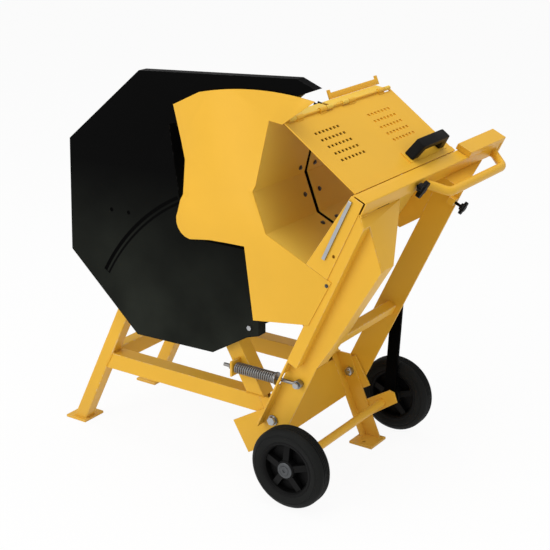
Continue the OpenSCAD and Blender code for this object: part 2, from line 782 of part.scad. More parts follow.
// Front guard: a sheet turned about the swing axis, cut to its outline
guard_toe = [-448, 376];
guard_line = concat([[-630, 635], [-570, 562], [-537, 519], [-504, 426]],
    [for (a = [176 : 19 : 290]) guard_toe + 49 * [cos(a), sin(a)]],
    [[-376, 366], [-317, 396], [-273, 417], [-163, 246], [-16, 341], [-10, floor_right[1]],
    floor_right, floor_left, chute_top, wall_top, hinge_edge, [-228, 922], [-420, 850], [-556, 727]]);
module front_guard() color(yellow) in_cradle() intersection() {
    h0 = guard_y;
    h1 = guard_y - step_h;
    rotate([90, 0, 0]) rotate_extrude($fn = 96)
        polygon([[280, h0], [step_r - 6, h0], [step_r + 6, h1], [940, h1], [940, h1 + sheet_t],
            [step_r + 8, h1 + sheet_t], [step_r - 4, h0 + sheet_t], [280, h0 + sheet_t]]);
    side(-guard_y - 20, 60) intersection() {
        circle(r = guard_r, $fn = 128);
        polygon(guard_line);
    }
}

wall_dir = unit(beam_edge - floor_right);
module arm_gussets() color(yellow) in_cradle() both() side(arm_y0, arm_t)
    polygon([[arm_left, 545], [arm_left, arm_top],
        trough_out[4] + (arm_top - trough_out[4][1]) / wall_dir[1] * wall_dir,
        trough_out[4], trough_out[4] + [24, 0]]);

module end_plate() color(yellow) in_cradle() difference() {
    top = beam_edge[1];
    side(-guard_y - sheet_t, sheet_t) polygon([floor_right + [0.6, 0.4],
        [arm_left + arm_t, floor_right[1] + 0.4], [arm_left + arm_t, top], beam_edge + [0.6, 0]]);
    bar_y(-34, 554, 9, -guard_y - sheet_t - 1, -guard_y + 1);
}
strip_t = 6;
strip_w0 = floor_right[1] + 45;
module steel_strip() color(steel) in_cradle()
    translate([arm_left - 32, -guard_y - sheet_t - strip_t, strip_w0])
        cube([10, strip_t, beam_edge[1] - 12 - strip_w0]);

// Free edge of the operator's sheet, along Y and up the arm
panel_y1 = -40;
module panel_plan() polygon([[panel_top[0] - 8, -arm_yf], [arm_left + near_box, -arm_yf],
    [arm_left + near_box, -arm_y1], [web_right + 2, -arm_y1], [web_right + 2, edge_depth - arm_y0],
    [beam_right, panel_y1], [panel_top[0] - 8, panel_y1]]);
module operator_sheet() color(yellow) in_cradle() {
    side(-arm_y0, edge_depth)
        polygon(concat(web_edge, [for (i = [2 : -1 : 0]) web_edge[i] - [sheet_t, 0]]));
    intersection() {
        side(-arm_yf, arm_yf + panel_y1) polygon([panel_low, panel_top, panel_top + sheet_t * panel_in,
            panel_low + sheet_t * panel_in]);
        translate([0, 0, panel_low[1] - 10]) linear_extrude(arm_top - panel_low[1] + 10) panel_plan();
    }
}

module crossbar() color(yellow) in_cradle() difference() {
    translate([0, -arm_y0, cross_w]) cube([cross_tube, 2 * arm_y0, cross_tube]);
    translate([tube_wall, -arm_y0 - 1, cross_w + tube_wall])
        cube([cross_tube - 2 * tube_wall, 2 * arm_y0 + 2, cross_tube - 2 * tube_wall]);
}

beam_left = beam_right - beam_w;
beam_knob_y = 34;
beam_knob_w = arm_top + beam_w / 2;
module top_beam() color(yellow) in_cradle() difference() {
    translate([beam_left, -guard_y, arm_top]) cube([beam_w, beam_y1 + guard_y, beam_w]);
    translate([beam_left + tube_wall, -guard_y - 1, arm_top + tube_wall])
        cube([beam_w - 2 * tube_wall, beam_y1 + guard_y + 2, beam_w - 2 * tube_wall]);
    translate([beam_right - tube_wall - 1, beam_knob_y, beam_knob_w]) rotate([0, 90, 0])
        cylinder(d = knob_d + 2 * run_clear, h = tube_wall + 2);
}

// Bar between two points
module rod_between(a, b, d) {
    v = b - a;
    translate(a) rotate([0, acos(v[2] / norm(v)), atan2(v[1], v[0])]) cylinder(d = d, h = norm(v));
}
module push_handle() color(yellow) in_cradle() {
    a = [handle_u, handle_y0, handle_w];
    b = [handle_u, handle_y1, handle_w];
    foot_a = [beam_right, handle_y0 - handle_run, arm_top + foot_rise];
    foot_b = [beam_right, handle_y1 + handle_run, arm_top + foot_rise];
    rod_between(a, b, handle_d);
    for (p = [a, b]) translate(p) sphere(d = handle_d + 1);
    difference() {
        union() {
            rod_between(foot_a + handle_d * unit(foot_a - a), a, handle_d);
            rod_between(b, foot_b + handle_d * unit(foot_b - b), handle_d);
        }
        translate([beam_right - 60, 0, arm_top - 26]) cube([60, beam_y1 + 100, 80]);
    }
}

deflector_y0 = 58;
deflector_y1 = trough_rear_y + 22;
ear_l = 13;
module flap(reach) polygon([trough_out[1], trough_out[1] + reach * [-22, 20],
    trough_out[1] + reach * [-22, 20] + [-3, -2], trough_out[1] + [-3, -3]]);
module deflector() color(yellow) in_cradle() {
    side(deflector_y0, deflector_y1 - deflector_y0) flap(0.55);
    for (y = [deflector_y0, deflector_y1 - ear_l]) side(y, ear_l) flap(0.85);
}

module spring_bolt() color(steel) in_cradle() {
    bar_y(bolt_u, bolt_w, rod_bolt_d, -rod_y - 10, -arm_y0);
    hex_y(bolt_u, bolt_w, 15, -rod_y - 16, -rod_y - 10);
    bar_y(bolt_u, bolt_w, 16, -rod_y + 7.5, -arm_y1);
}

// Lid, in its own axes: along from the hinge edge, up from the trough's edges
lid_y0 = trough_y0 + 3;
lid_y1 = trough_rear_y + 3;
pad_t = 3;
bow_u = lid_l - 34;
bow_y0 = 84;
lid_over = 2.5;
lid_z0 = lid_gap;
lid_z1 = lid_gap + lid_t;
module lid() color(yellow) on_lid() difference() {
    union() {
        translate([1.5, lid_y0, lid_z0]) cube([lid_l + lid_over - 1.5, lid_y1 - lid_y0, lid_t]);
        translate([bow_u - 20, bow_y0 - 10, lid_z1]) cube([40, bow_l + 20, pad_t]);
        translate([lid_l + lid_over - hem_w, lid_y0, lid_z1]) cube([hem_w, lid_y1 - lid_y0, 2]);
        for (y = lid_lugs) {
            bar_y(0, barrel_up, barrel_d, y, y + lug_l);
            translate([0, y, lid_z1 - 1]) cube([10, lug_l, 3]);
        }
    }
    for (y = lid_lugs) bar_y(0, barrel_up, hinge_pin_d + 2 * run_clear, y - 1, y + lug_l + 1);
    for (y = trough_lugs) translate([0, y - 1, 0]) cube([barrel_d / 2 + 1.5, lug_l + 2, lid_z1 + 1]);
    for (y0 = [-164, 100], i = [0 : slot_rows - 1], j = [0 : slot_cols - 1])
        translate([56 + 24.4 * i, y0 + 17.5 * j, lid_z0 - 1]) cube([slot_a, slot_b, lid_t + 2]);
}
module lid_handle() color(black) on_lid() translate([bow_u - bow_w / 2, 0, lid_z1 + pad_t])
    rotate([90, 0, 90]) linear_extrude(bow_w) polygon([[bow_y0, 0], [bow_y0 + 34, 0],
        [bow_y0 + 46, bow_h - bow_bar], [bow_y0 + bow_l - 46, bow_h - bow_bar], [bow_y0 + bow_l - 34, 0],
        [bow_y0 + bow_l, 0], [bow_y0 + bow_l - 20, bow_h], [bow_y0 + 20, bow_h]]);

stop_y0 = -180;
module length_stop() color(yellow) in_cradle() {
    w = beam_w - 2 * tube_wall - 2 * stop_clear;
    um = beam_left + beam_w / 2;
    wm = arm_top + beam_w / 2;
    difference() {
        translate([um - w / 2, stop_y0, wm - w / 2]) cube([w, stop_y1 - 9 - stop_y0, w]);
        translate([um - w / 2 + tube_wall, stop_y0 - 1, wm - w / 2 + tube_wall])
            cube([w - 2 * tube_wall, stop_y1 - stop_y0 - 9, w - 2 * tube_wall]);
    }
    side(stop_y1 - 10, 10) polygon([[um - 25, arm_top - 4], [um + 22, arm_top - 4],
        [um + 22, arm_top + beam_w + stop_h], [um - 25, arm_top + beam_w + stop_h]]);
    translate([um - 25, trough_rear_y + 12, arm_top + beam_w + stop_clear])
        cube([47, stop_y1 - trough_rear_y - 14, stop_h - stop_clear]);
}

// Knob with three wings on an axis along +X from its seat
module wing_knob(reach, k) {
    wing_r = k * (knob_span - wing_d) / 2;
    hub_l = k * knob_hub_l;
    rotate([0, 90, 0]) {
        translate([0, 0, -reach]) cylinder(d = knob_d, h = reach + 2);
        cylinder(d = k * knob_hub_d, h = hub_l);
    }
    for (a = [30, 150, 270]) rotate([a, 0, 0]) {
        translate([3, wing_r, 0]) rotate([0, 90, 0]) cylinder(d = k * wing_d, h = hub_l - 6);
        translate([3, 0, 1 - k * wing_d / 2]) cube([hub_l - 6, wing_r, k * wing_d - 2]);
    }
}
module beam_knob() color(black) in_cradle()
    translate([beam_right + 6, beam_knob_y, beam_knob_w]) wing_knob(6 + tube_wall, beam_knob_k);
module arm_knob() color(black) in_cradle()
    translate([knob_u1 - knob_hub_l, arm_y0 - nut_block / 2, knob_w])
        wing_knob(knob_u1 - knob_hub_l - arm_left - arm_w + nut_block - 4, 1);

// Return spring set, along X at rest
rod_x = pivot_x + rod_dx;
rod_z = pivot_z + rod_dz;
rod_len = rod_x - tab_x + 36;
collar_s = 70;
module at_rod() {
    place() translate([rod_x, -rod_y, rod_z]) children();
}
module x_disc(d, s0, s1) {
    translate([-s1, 0, 0]) rotate([0, 90, 0]) cylinder(d = d, h = s1 - s0);
}
module guide_rod() color(steel) at_rod() {
    difference() {
        union() {
            bar_y(0, 0, 24, -7, 7);
            x_disc(rod_d, 8, rod_len);
        }
        bar_y(0, 0, rod_bolt_d + 2 * run_clear, -9, 9);
    }
    x_disc(36, collar_s - 4, collar_s);
    x_disc(26, rod_x - tab_x + tab_t / 2 + 0.5, rod_x - tab_x + tab_t / 2 + 3);
    translate([-(rod_x - tab_x + tab_t / 2 + 12), 0, 0]) rotate([0, 90, 0])
        cylinder(d = 17 / cos(30), h = 9, $fn = 6);
}

// Wound wire: straight ends one wire long, curls of eight rings, six sides
spring_len = rod_x - tab_x - tab_t / 2 - 1 - collar_s;
coil_r = coil_d / 2;
coil_lead = 2 * wire_d;
ring_n = curls * 8;
function coil_pt(i) =
    let (t = i / ring_n, a = 360 * curls * t)
    [coil_lead + t * (spring_len - 2 * coil_lead), coil_r * cos(a), coil_r * sin(a)];
wire_path = concat([[0.2, coil_r, 0], [wire_d, coil_r, 0]], [for (i = [0 : ring_n]) coil_pt(i)],
    [[spring_len - wire_d, coil_r, 0], [spring_len - 0.2, coil_r, 0]]);
function tangent(p, i) = unit(p[min(i + 1, len(p) - 1)] - p[max(i - 1, 0)]);
function wire_ring(p, i) =
    let (t = i <= 1 || i >= len(p) - 2 ? [1, 0, 0] : tangent(p, i),
        q = [0, p[i][1], p[i][2]], n = unit(q - (q * t) * t), b = cross(t, n))
    [for (k = [0 : 5]) p[i] + wire_d / 2 * (cos(60 * k) * n + sin(60 * k) * b)];
wire_gap = min([for (i = [0 : ring_n - 8], j = [6 : 10]) if (i + j <= ring_n)
    norm(coil_pt(i + j) - coil_pt(i))]) - wire_d;
echo(spring_gap = wire_gap);
module spring() color(steel) at_rod() translate([-(collar_s + spring_len), 0, 0]) {
    n = len(wire_path);
    pts = [for (i = [0 : n - 1]) each wire_ring(wire_path, i)];
    sides = [for (i = [0 : n - 2], k = [0 : 5])
        let (a = 6 * i + k, b = 6 * i + (k + 1) % 6)
        each [[a, b, b + 6], [a, b + 6, a + 6]]];
    cap0 = [for (k = [1 : 4]) [0, k + 1, k]];
    cap1 = [for (k = [1 : 4]) [6 * (n - 1), 6 * (n - 1) + k, 6 * (n - 1) + k + 1]];
    polyhedron(points = pts, faces = concat(sides, cap0, cap1), convexity = 10);
}

// Wheels, drawn on the far side
module at_axle() {
    place() translate([axle_x, 0, axle_z]) children();
}
module turned_y() {
    rotate([-90, 0, 0]) rotate_extrude() children();
}
tyre_seat = 0.02;
module tyre() {
    r = wheel_d / 2;
    ri = rim_d / 2 + tyre_seat;
    translate([0, wheel_in, 0]) turned_y() polygon([[ri, 2], [ri + 12, 0], [r - 12, 2], [r - 4, 7], [r, 16],
        [r, wheel_w - 16], [r - 4, wheel_w - 7], [r - 12, wheel_w - 2], [ri + 12, wheel_w],
        [ri, wheel_w - 2]]);
}
module rim() {
    r = rim_d / 2;
    b = axle_d / 2 + run_clear;
    m = wheel_w / 2;
    translate([0, wheel_in, 0]) difference() {
        turned_y() polygon([[b, 0], [26, 0], [30, m - 9], [r - 16, m - 9], [r - 12, 3], [r, 3],
            [r, wheel_w - 3], [r - 12, wheel_w - 3], [r - 16, m + 9], [30, m + 9], [26, wheel_w],
            [b, wheel_w]]);
        for (i = [0 : rim_pockets - 1])
            rotate([0, i * 360 / rim_pockets, 0]) translate([0, 0, (r + 14) / 2])
                bar_y(0, 0, 26, -1, wheel_w + 1);
    }
}
module cap() {
    bar_y(0, 0, 44, wheel_out, wheel_out + cap_t);
}
module near_tyre() color(rubber) at_axle() mirror([0, 1, 0]) tyre();
module near_rim() color(black) at_axle() mirror([0, 1, 0]) rim();
module near_cap() color(steel) at_axle() mirror([0, 1, 0]) cap();
module far_tyre() color(rubber) at_axle() tyre();
module far_rim() color(black) at_axle() rim();
module far_cap() color(steel) at_axle() cap();

left_legs();
right_legs();
rails();
posts();
head_ties();
pivot_plates();
left_cross_rail();
right_cross_plate();
foot_plates();
axle_beam();
axle();
upright_bar();
motor_plate();
motor_housing();
fan_cover();
terminal_box();
stator();
motor_bearings();
front_cover();
cover_bolt();
hood_rear();
hood_front();
spring_tab();
pivot_bolts();
motor_shaft();
rotor();
cooling_fan();
blade();
clamp_flanges();
arbor_nut();
near_arm();
far_arm();
trough_front();
trough_rear();
slot_guards();
front_guard();
arm_gussets();
end_plate();
steel_strip();
operator_sheet();
crossbar();
top_beam();
push_handle();
deflector();
hinge_pin();
pivot_bushes();
spring_bolt();
lid();
lid_handle();
length_stop();
beam_knob();
arm_knob();
guide_rod();
spring();
near_tyre();
near_rim();
near_cap();
far_tyre();
far_rim();
far_cap();
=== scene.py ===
import json
import math

import bmesh
import bpy
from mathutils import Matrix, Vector


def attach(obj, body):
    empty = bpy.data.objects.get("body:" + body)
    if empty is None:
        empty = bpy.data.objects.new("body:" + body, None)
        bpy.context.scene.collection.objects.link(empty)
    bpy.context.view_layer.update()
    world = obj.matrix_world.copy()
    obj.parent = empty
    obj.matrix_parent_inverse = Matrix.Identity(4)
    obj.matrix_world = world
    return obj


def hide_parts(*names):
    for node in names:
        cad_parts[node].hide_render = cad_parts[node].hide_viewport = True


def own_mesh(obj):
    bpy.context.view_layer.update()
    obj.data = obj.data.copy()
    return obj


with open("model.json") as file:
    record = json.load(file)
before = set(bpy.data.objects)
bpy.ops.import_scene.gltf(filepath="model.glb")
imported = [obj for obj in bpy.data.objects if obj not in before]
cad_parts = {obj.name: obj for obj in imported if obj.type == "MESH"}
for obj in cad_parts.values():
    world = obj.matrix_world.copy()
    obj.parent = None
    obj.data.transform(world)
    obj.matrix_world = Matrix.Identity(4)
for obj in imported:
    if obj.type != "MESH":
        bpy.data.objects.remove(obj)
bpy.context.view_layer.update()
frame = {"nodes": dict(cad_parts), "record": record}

bl_info = {
    "name": "Swing cradle log saw",
    "version": (1, 0, 0),
    "blender": (4, 5, 0),
    "location": "View3D > Sidebar > Log saw",
    "description": "Dresses a wheeled firewood saw with a rocking log cradle",
    "category": "Object",
}

MM = 0.001

# Drawing axes, in millimetres: the swing axis and the spindle, as the solids have them
SWING = (296.0, 200.0)
SPINDLE = (-18.0, 10.0, 662.0)
LEAN = math.radians(25.0)
JOINTS = {j["name"]: j for j in frame["record"]["behaviour"]["joints"]}
PIVOT = Vector(JOINTS["cradle_swing"]["pos_m"])

# Lengths below are in millimetres, apart from those that a comment gives in metres
# Base frame: its half width and the rails' lower and upper faces
FRAME_HALF = 199.0
RAIL = (203.0, 253.0)
# Left legs and posts: where the middle line meets the floor or the rails, its lean and the tube's width
LEG = (-439.0, math.radians(26.3), 40.0)
POST = (226.0, math.radians(30.0), 50.0)
FOOT_PLATE = 8.0
# Black cover: its face, its two holes, and the section of the black plugs that stand for the shade inside
# them, as radius and depth behind the face
COVER_Y = -231.0
COVER_HOLES = ((-241.0, 714.0), (-179.0, 715.0))
SHADE_PLUG = ((0.4, 2.2), (4.6, 2.0), (5.8, 1.4), (5.8, 3.0), (7.6, 3.2), (7.6, 5.0), (0.4, 5.0))
# The cover's groove: its radius round the swing axis, its start and run in degrees, and the radius of the
# round tool that presses it, with the tool's middle so far in front of the face
GROOVE_R = 652.0
GROOVE_RUN = (117.0, 33.0)
GROOVE_TOOL = 31.2
GROOVE_LIFT = 28.8
# The groove's own faces, which get painted shade: how deep they lie, and how far their normals turn to the
# front
GROOVE_DEEP = (0.05, 2.7)
GROOVE_FRONT = (-0.999, -0.5)
# Cradle: the arms' outer faces and sheet, the crossbar's reach along the cradle and its height, where the
# far arm's seam under the beam starts, and how far the near arm's stops short of the beam's end
ARM_OUT = 212.0
ARM_SHEET = 5.0
CROSSBAR = ((2.0, 28.0), 240.0)
ARM_SEAM = -27.0
END_SHORT = 2.0
# The trough's outline from the lid's hinge edge round to its other edge, and the lid's direction
TROUGH = (
    (-313.0, 771.0), (-351.0, 759.0), (-312.0, 566.0), (-230.0, 487.0), (-94.0, 487.0), (-61.0, 724.0),
)
LID_WAY = (0.983, -0.183)
# Sheets behind the lid's slots: their reach along the lid and up from the trough's edges, then each one's
# coat and reach across. The black sheet behind the near slots is painted shade; the yellow one closes the far
# slots
SLOT_BACK = ((50.0, 170.0), (0.8, 1.8))
SLOT_SHEETS = {
    # Painted shade: a black sheet behind the near slots
    "lid_near_slot_shade": ("black_paint", (-168.0, -45.0)),
    "lid_far_backing": ("yellow_paint", (96.0, 219.0)),
}
# Lower edge of the trough's mouth, the gap along Y between it and the guard, and the sheet that closes it
MOUTH = ((-313.6, 574.0), (-312.0, 566.0), (-230.0, 487.0), (-94.6, 487.0))
MOUTH_GAP = (-241.4, -232.6)
MOUTH_SHEET = 2.6
# Screws in the trough: the corners of each wall with the places along it, and the rows beside the blade
SCREW_WALLS = ((1, 2, (0.35, 0.9)), (2, 3, (0.5,)), (3, 4, (0.3, 0.8)))
SCREW_ROWS = (-26.0, 46.0)
# The guard's front face, and its screw along and up the cradle
GUARD_Y = -244.0
GUARD_SCREW = (-17.0, 472.0)
# Top beam: its width, right and lower faces, ends along Y, wall and least inner bend
BEAM = 40.0
BEAM_RIGHT = -16.0
BEAM_LOW = 690.0
BEAM_ENDS = (-241.0, 520.0)
TUBE_WALL = 3.0
INNER_BEND = 0.6
# Push handle: its corners along the cradle and along Y, its height, how far its feet sink into the beam,
# and the half sizes of the oval where a foot meets the beam
HANDLE = ((-17.0, 79.2), (42.0, 125.0), (42.0, 450.0), (-17.0, 495.8))
HANDLE_UP = 704.0
HANDLE_SINK = 0.6
HANDLE_OVAL = (15.8, 12.5)
# Return spring: the guide rod's bolt, the collar's distance from it, the coil's length and its stroke
ROD = (382.0, -222.0, 331.0)
COLLAR = 70.0
SPRING_SPAN = 132.6
# Wheels: the axle, the inner face and width, the tyre's and rim's radii and the fit between them, the tread
# grooves' places across the tyre, with their half widths at the top and at the floor, and the rim's ribs
AXLE = (402.0, 121.0)
WHEEL_IN = 258.0
WHEEL_W = 57.0
TYRE_R = 114.0
RIM_R = 79.0
RIM_FIT = 0.1
TREAD = (19.0, 25.3, 31.7, 38.0)
TREAD_HALF = (1.8, 1.0)
RIBS = 5
RIB_HALF = 9.0
# Tooth tips: their circle, and each one's size along the radius, along the rim and across the plate
TIP_R = 292.5
TIP = (9.0, 3.5, 5.2)
# Hexagon heads: the corner's radius for a width across flats of one, then the width and height of the
# trough's and the guard's screws
HEX_CORNER = 0.5774
TROUGH_HEAD = (8.0, 4.0)
GUARD_HEAD = (6.0, 3.0)

# Copies of CAD nodes, in metres: points this near are one, faces this flat are joined, and edges sharper
# than this are rounded where they are long enough
NEAR = 2e-6
FLAT = math.radians(0.4)
SHARP = math.radians(30.0)
# A colour mix has several sockets of one name, so these are its colour inputs and output by number
MIX_A, MIX_B, MIXED = 6, 7, 2
# The part of its range that a noise mostly fills
MIDDLE = {"From Min": 0.3, "From Max": 0.7}
# A tint that thickens downwards on a coat: the heights in metres where it starts and is thickest, its share
# there, and its colour. On the yellow coats it is dust near the floor; on the black coat it is painted
# light, a grey that lifts its lower half; the plain black turns only faintly grey near the floor.
FLOOR_DUST = (0.15, 0.0, 0.22, "#9A8F7D")
# Painted light: the black cover's lower half lifted to grey
GUARD_PAINTED_LIGHT = (0.85, 0.4, 1.0, "#31342E")
TRACE_LOW_GREY = (0.15, 0.0, 0.1, "#31342E")

# Camera: its place, its angles round and above the saw in degrees, and its lens on a sensor this wide
CAMERA = (2110.0, -2875.0, 1750.0)
CAMERA_ANGLES = (34.19, 19.34)
CAMERA_LENS = 85.1
SENSOR = 36.0
# Stage, in metres: half the floor's side, each lamp's place, size and power in watts, and their aim
FLOOR_HALF = 40.0
LAMPS = {
    "key_lamp": ((-1.2, -4.3, 2.5), 3.0, 88.0),
    "top_lamp": ((0.3, -0.3, 4.2), 3.0, 76.0),
    "side_lamp": ((3.8, -1.6, 1.8), 2.4, 12.0),
}
LAMP_AIM = Vector((0.0, 0.0, 0.6))
# Share of its white that the floor shows by itself, and the sky's strength on the saw and to the camera
FLOOR_GLOW = 0.93
SKY = (0.5, 1.0)
WHITE = (1.0, 1.0, 1.0, 1.0)


def at(x, y, z):
    """A point of the drawing, in millimetres, as metres in the row frame."""
    return Vector((PIVOT.x + (x - SWING[0]) * MM, PIVOT.y + y * MM, PIVOT.z + (z - SWING[1]) * MM))


def on_cradle(u, y, w):
    """A point along and up the leaning cradle, measured from the swing axis."""
    return at(
        SWING[0] + u * math.cos(LEAN) + w * math.sin(LEAN),
        y,
        SWING[1] - u * math.sin(LEAN) + w * math.cos(LEAN),
    )


def cradle_way(u, w):
    """A direction in the cradle's side view."""
    return (on_cradle(u, 0, w) - on_cradle(0, 0, 0)).normalized()


def on_lid(along, y, up):
    """A point of the closed lid, measured from the hinge edge of the trough."""
    (u, w), (a, b) = TROUGH[0], LID_WAY
    return on_cradle(u + along * a - up * b, y, w + along * b + up * a)


def per(width):
    """A pattern's scale, from the real width of one of its marks in millimetres."""
    return 1 / (width * MM)


def linear(code):
    """An sRGB hex value as linear red, green and blue."""
    parts = [int(code[i : i + 2], 16) / 255 for i in (1, 3, 5)]
    return tuple(p / 12.92 if p <= 0.04045 else ((p + 0.055) / 1.055) ** 2.4 for p in parts)


def tone(name, what, code):
    """A colour property of the finishes."""
    return bpy.props.FloatVectorProperty(
        name=name, description=what, subtype="COLOR", size=3, min=0.0, max=1.0, default=linear(code)
    )


def span(name, what, metres, least=0.0, most=1.0):
    """A length property of the sizes."""
    return bpy.props.FloatProperty(
        name=name, description=what, unit="LENGTH", default=metres, min=least, max=most, precision=4
    )


class LogSawFinishes(bpy.types.PropertyGroup):
    """Colours of the saw and its floor"""
    yellow: tone("Yellow coat", "Powder coat of the frame and cradle", "#E8B236")
    # Painted light: a paler yellow that lifts the shade inside the trough
    painted_light_yellow: tone("Painted-light yellow", "Yellow coat of the trough, paler as painted light in its shade", "#E6BF4F")
    black: tone("Black coat", "Powder coat of the blade guard", "#060606")
    zinc: tone("Zinc", "Plated bolts, rod and axle", "#B4B6B8")
    blade: tone("Blade", "Ground saw plate", "#A9ABAD")
    carbide: tone("Carbide", "Brazed tooth tips", "#7C7B78")
    spring: tone("Spring", "Phosphated spring wire", "#9A9896")
    core: tone("Core", "Stacked motor sheets", "#77746F")
    alloy: tone("Motor alloy", "Cast motor body", "#6C7074")
    nylon: tone("Nylon", "Moulded handles and rims", "#0B0B0B")
    rubber: tone("Rubber", "Moulded tyres", "#101110")
    cap: tone("Hub cap", "Pressed hub caps, dulled by use", "#5F6163")
    floor: tone("Floor", "Pale studio floor", "#F4F4F3")


class LogSawSizes(bpy.types.PropertyGroup):
    """Sizes of the added roundings, welds, handle, spring and treads"""
    sheet_edge: span("Sheet edge", "Rounding of cut and folded sheet", 0.0009, 0.0002, 0.0014)
    tube_corner: span("Tube corner", "Corner of the drawn square tubes", 0.0035, 0.001, 0.006)
    beam_corner: span("Beam corner", "Outer corner of the top beam", 0.003, 0.001, 0.006)
    moulded_edge: span("Moulded edge", "Rounding of moulded handles", 0.004, 0.001, 0.005)
    wing_edge: span("Wing edge", "Rounding of the moulded wing knobs", 0.0012, 0.0004, 0.002)
    bolt_edge: span("Bolt edge", "Rounding of the big bolts' heads", 0.0008, 0.0002, 0.0014)
    bead_pitch: span("Weld pitch", "Distance between weld ripples", 0.0042, 0.002, 0.01)
    bead_size: span("Weld bead", "Width of a weld bead", 0.0065, 0.003, 0.01)
    handle_tube: span("Handle tube", "Diameter of the push handle", 0.025, 0.02, 0.026)
    handle_bend: span("Handle bend", "Bend of the push handle's middle line", 0.034, 0.02, 0.06)
    coil: span("Coil", "Middle diameter of the return spring", 0.028, 0.024, 0.032)
    wire: span("Wire", "Spring wire diameter", 0.0045, 0.003, 0.005)
    groove: span("Tread groove", "Depth of the grooves round the tyres", 0.0022, 0.0, 0.004)
    turns: bpy.props.IntProperty(
        name="Turns", description="Turns of the return spring", default=17, min=8, max=20
    )
    tips: bpy.props.IntProperty(name="Tips", description="Teeth of the blade", default=40, min=24, max=56)


def sizes():
    """The scene's sizes."""
    return bpy.context.scene.log_saw_sizes


def finishes():
    """The scene's colours."""
    return bpy.context.scene.log_saw_finishes


def feed(tree, node, inputs):
    """Sets a node's inputs, or links them to other nodes."""
    for key, value in inputs.items():
        if isinstance(value, bpy.types.NodeSocket):
            tree.links.new(value, node.inputs[key])
        else:
            node.inputs[key].default_value = value


def add(tree, kind, inputs=None, **settings):
    """Adds a node with its settings, and feeds its inputs."""
    node = tree.nodes.new(kind)
    for key, value in settings.items():
        setattr(node, key, value)
    feed(tree, node, inputs or {})
    return node


def blank(name):
    """A new material's tree, with its shader and its place on the object."""
    material = bpy.data.materials.new(name)
    material.use_nodes = True
    tree = material.node_tree
    tree.nodes.clear()
    shader = add(tree, "ShaderNodeBsdfPrincipled")
    add(tree, "ShaderNodeOutputMaterial", {"Surface": shader.outputs["BSDF"]})
    place = add(tree, "ShaderNodeTexCoord").outputs["Object"]
    return material, tree, shader, place


def shade(colour, factor):
    """A lighter or darker colour, with full alpha."""
    return tuple(min(1.0, c * factor) for c in colour) + (1.0,)


def powder_coat(name, colour, rough, worn, peel, gleam, dust_and_light):
    """Powder-coated steel: baked plastic film, with orange peel a few millimetres wide, cloudy gloss,
    paler rubbed edges, and a tint that thickens from one height down to another: a dusting on the yellow
    coats, and on the black coat a grey that is painted light over its lower half."""
    material, tree, shader, place = blank(name)
    # Cloudy thickness of the film, about 180 mm across
    cloud = add(tree, "ShaderNodeTexNoise", {"Vector": place, "Scale": per(180), "Detail": 3.0})
    body = add(
        tree, "ShaderNodeMix",
        {"Factor": cloud.outputs["Fac"], MIX_A: shade(colour, 0.93), MIX_B: shade(colour, 1.05)},
        data_type="RGBA",
    )
    # Rubbed edges: the rounded faces carry the attribute, broken up at 12 mm
    edge = add(tree, "ShaderNodeAttribute", attribute_name="edge")
    rub = add(tree, "ShaderNodeTexNoise", {"Vector": place, "Scale": per(12), "Detail": 4.0})
    bare = add(
        tree, "ShaderNodeMapRange",
        {"Value": rub.outputs["Fac"], "From Min": 0.45, "From Max": 0.7, "To Min": 0.0, "To Max": worn},
    )
    share = add(
        tree, "ShaderNodeMath", {0: edge.outputs["Fac"], 1: bare.outputs["Result"]}, operation="MULTIPLY"
    )
    pale = tuple(c * 0.55 + 0.38 for c in colour) + (1.0,)
    coat = add(
        tree, "ShaderNodeMix",
        {"Factor": share.outputs["Value"], MIX_A: body.outputs[MIXED], MIX_B: pale}, data_type="RGBA",
    )
    # Dust on the yellow coats and painted light on the black coat, thinned by the same clouds
    tint_start, thick, most, film = dust_and_light
    height = add(tree, "ShaderNodeSeparateXYZ", {"Vector": place})
    low = add(
        tree, "ShaderNodeMapRange",
        {"Value": height.outputs["Z"], "From Min": tint_start, "From Max": thick, "To Min": 0.0, "To Max": most},
    )
    thin = add(
        tree, "ShaderNodeMath", {0: low.outputs["Result"], 1: cloud.outputs["Fac"]}, operation="MULTIPLY"
    )
    dusty_and_lit = add(
        tree, "ShaderNodeMix",
        {"Factor": thin.outputs["Value"], MIX_A: coat.outputs[MIXED], MIX_B: linear(film) + (1.0,)},
        data_type="RGBA",
    )
    gloss = add(
        tree, "ShaderNodeMapRange",
        {"Value": cloud.outputs["Fac"], **MIDDLE, "To Min": rough - 0.05, "To Max": rough + 0.07},
    )
    # Orange peel is about 2 mm wide, drawn at 4 mm so that it shows
    skin = add(tree, "ShaderNodeTexNoise", {"Vector": place, "Scale": per(4), "Detail": 1.0})
    bump = add(
        tree, "ShaderNodeBump", {"Height": skin.outputs["Fac"], "Strength": peel, "Distance": 0.25 * MM}
    )
    feed(tree, shader, {
        "Base Color": dusty_and_lit.outputs[MIXED], "Roughness": gloss.outputs["Result"],
        "Normal": bump.outputs["Normal"], "IOR": 1.5, "Specular IOR Level": gleam,
    })
    return material


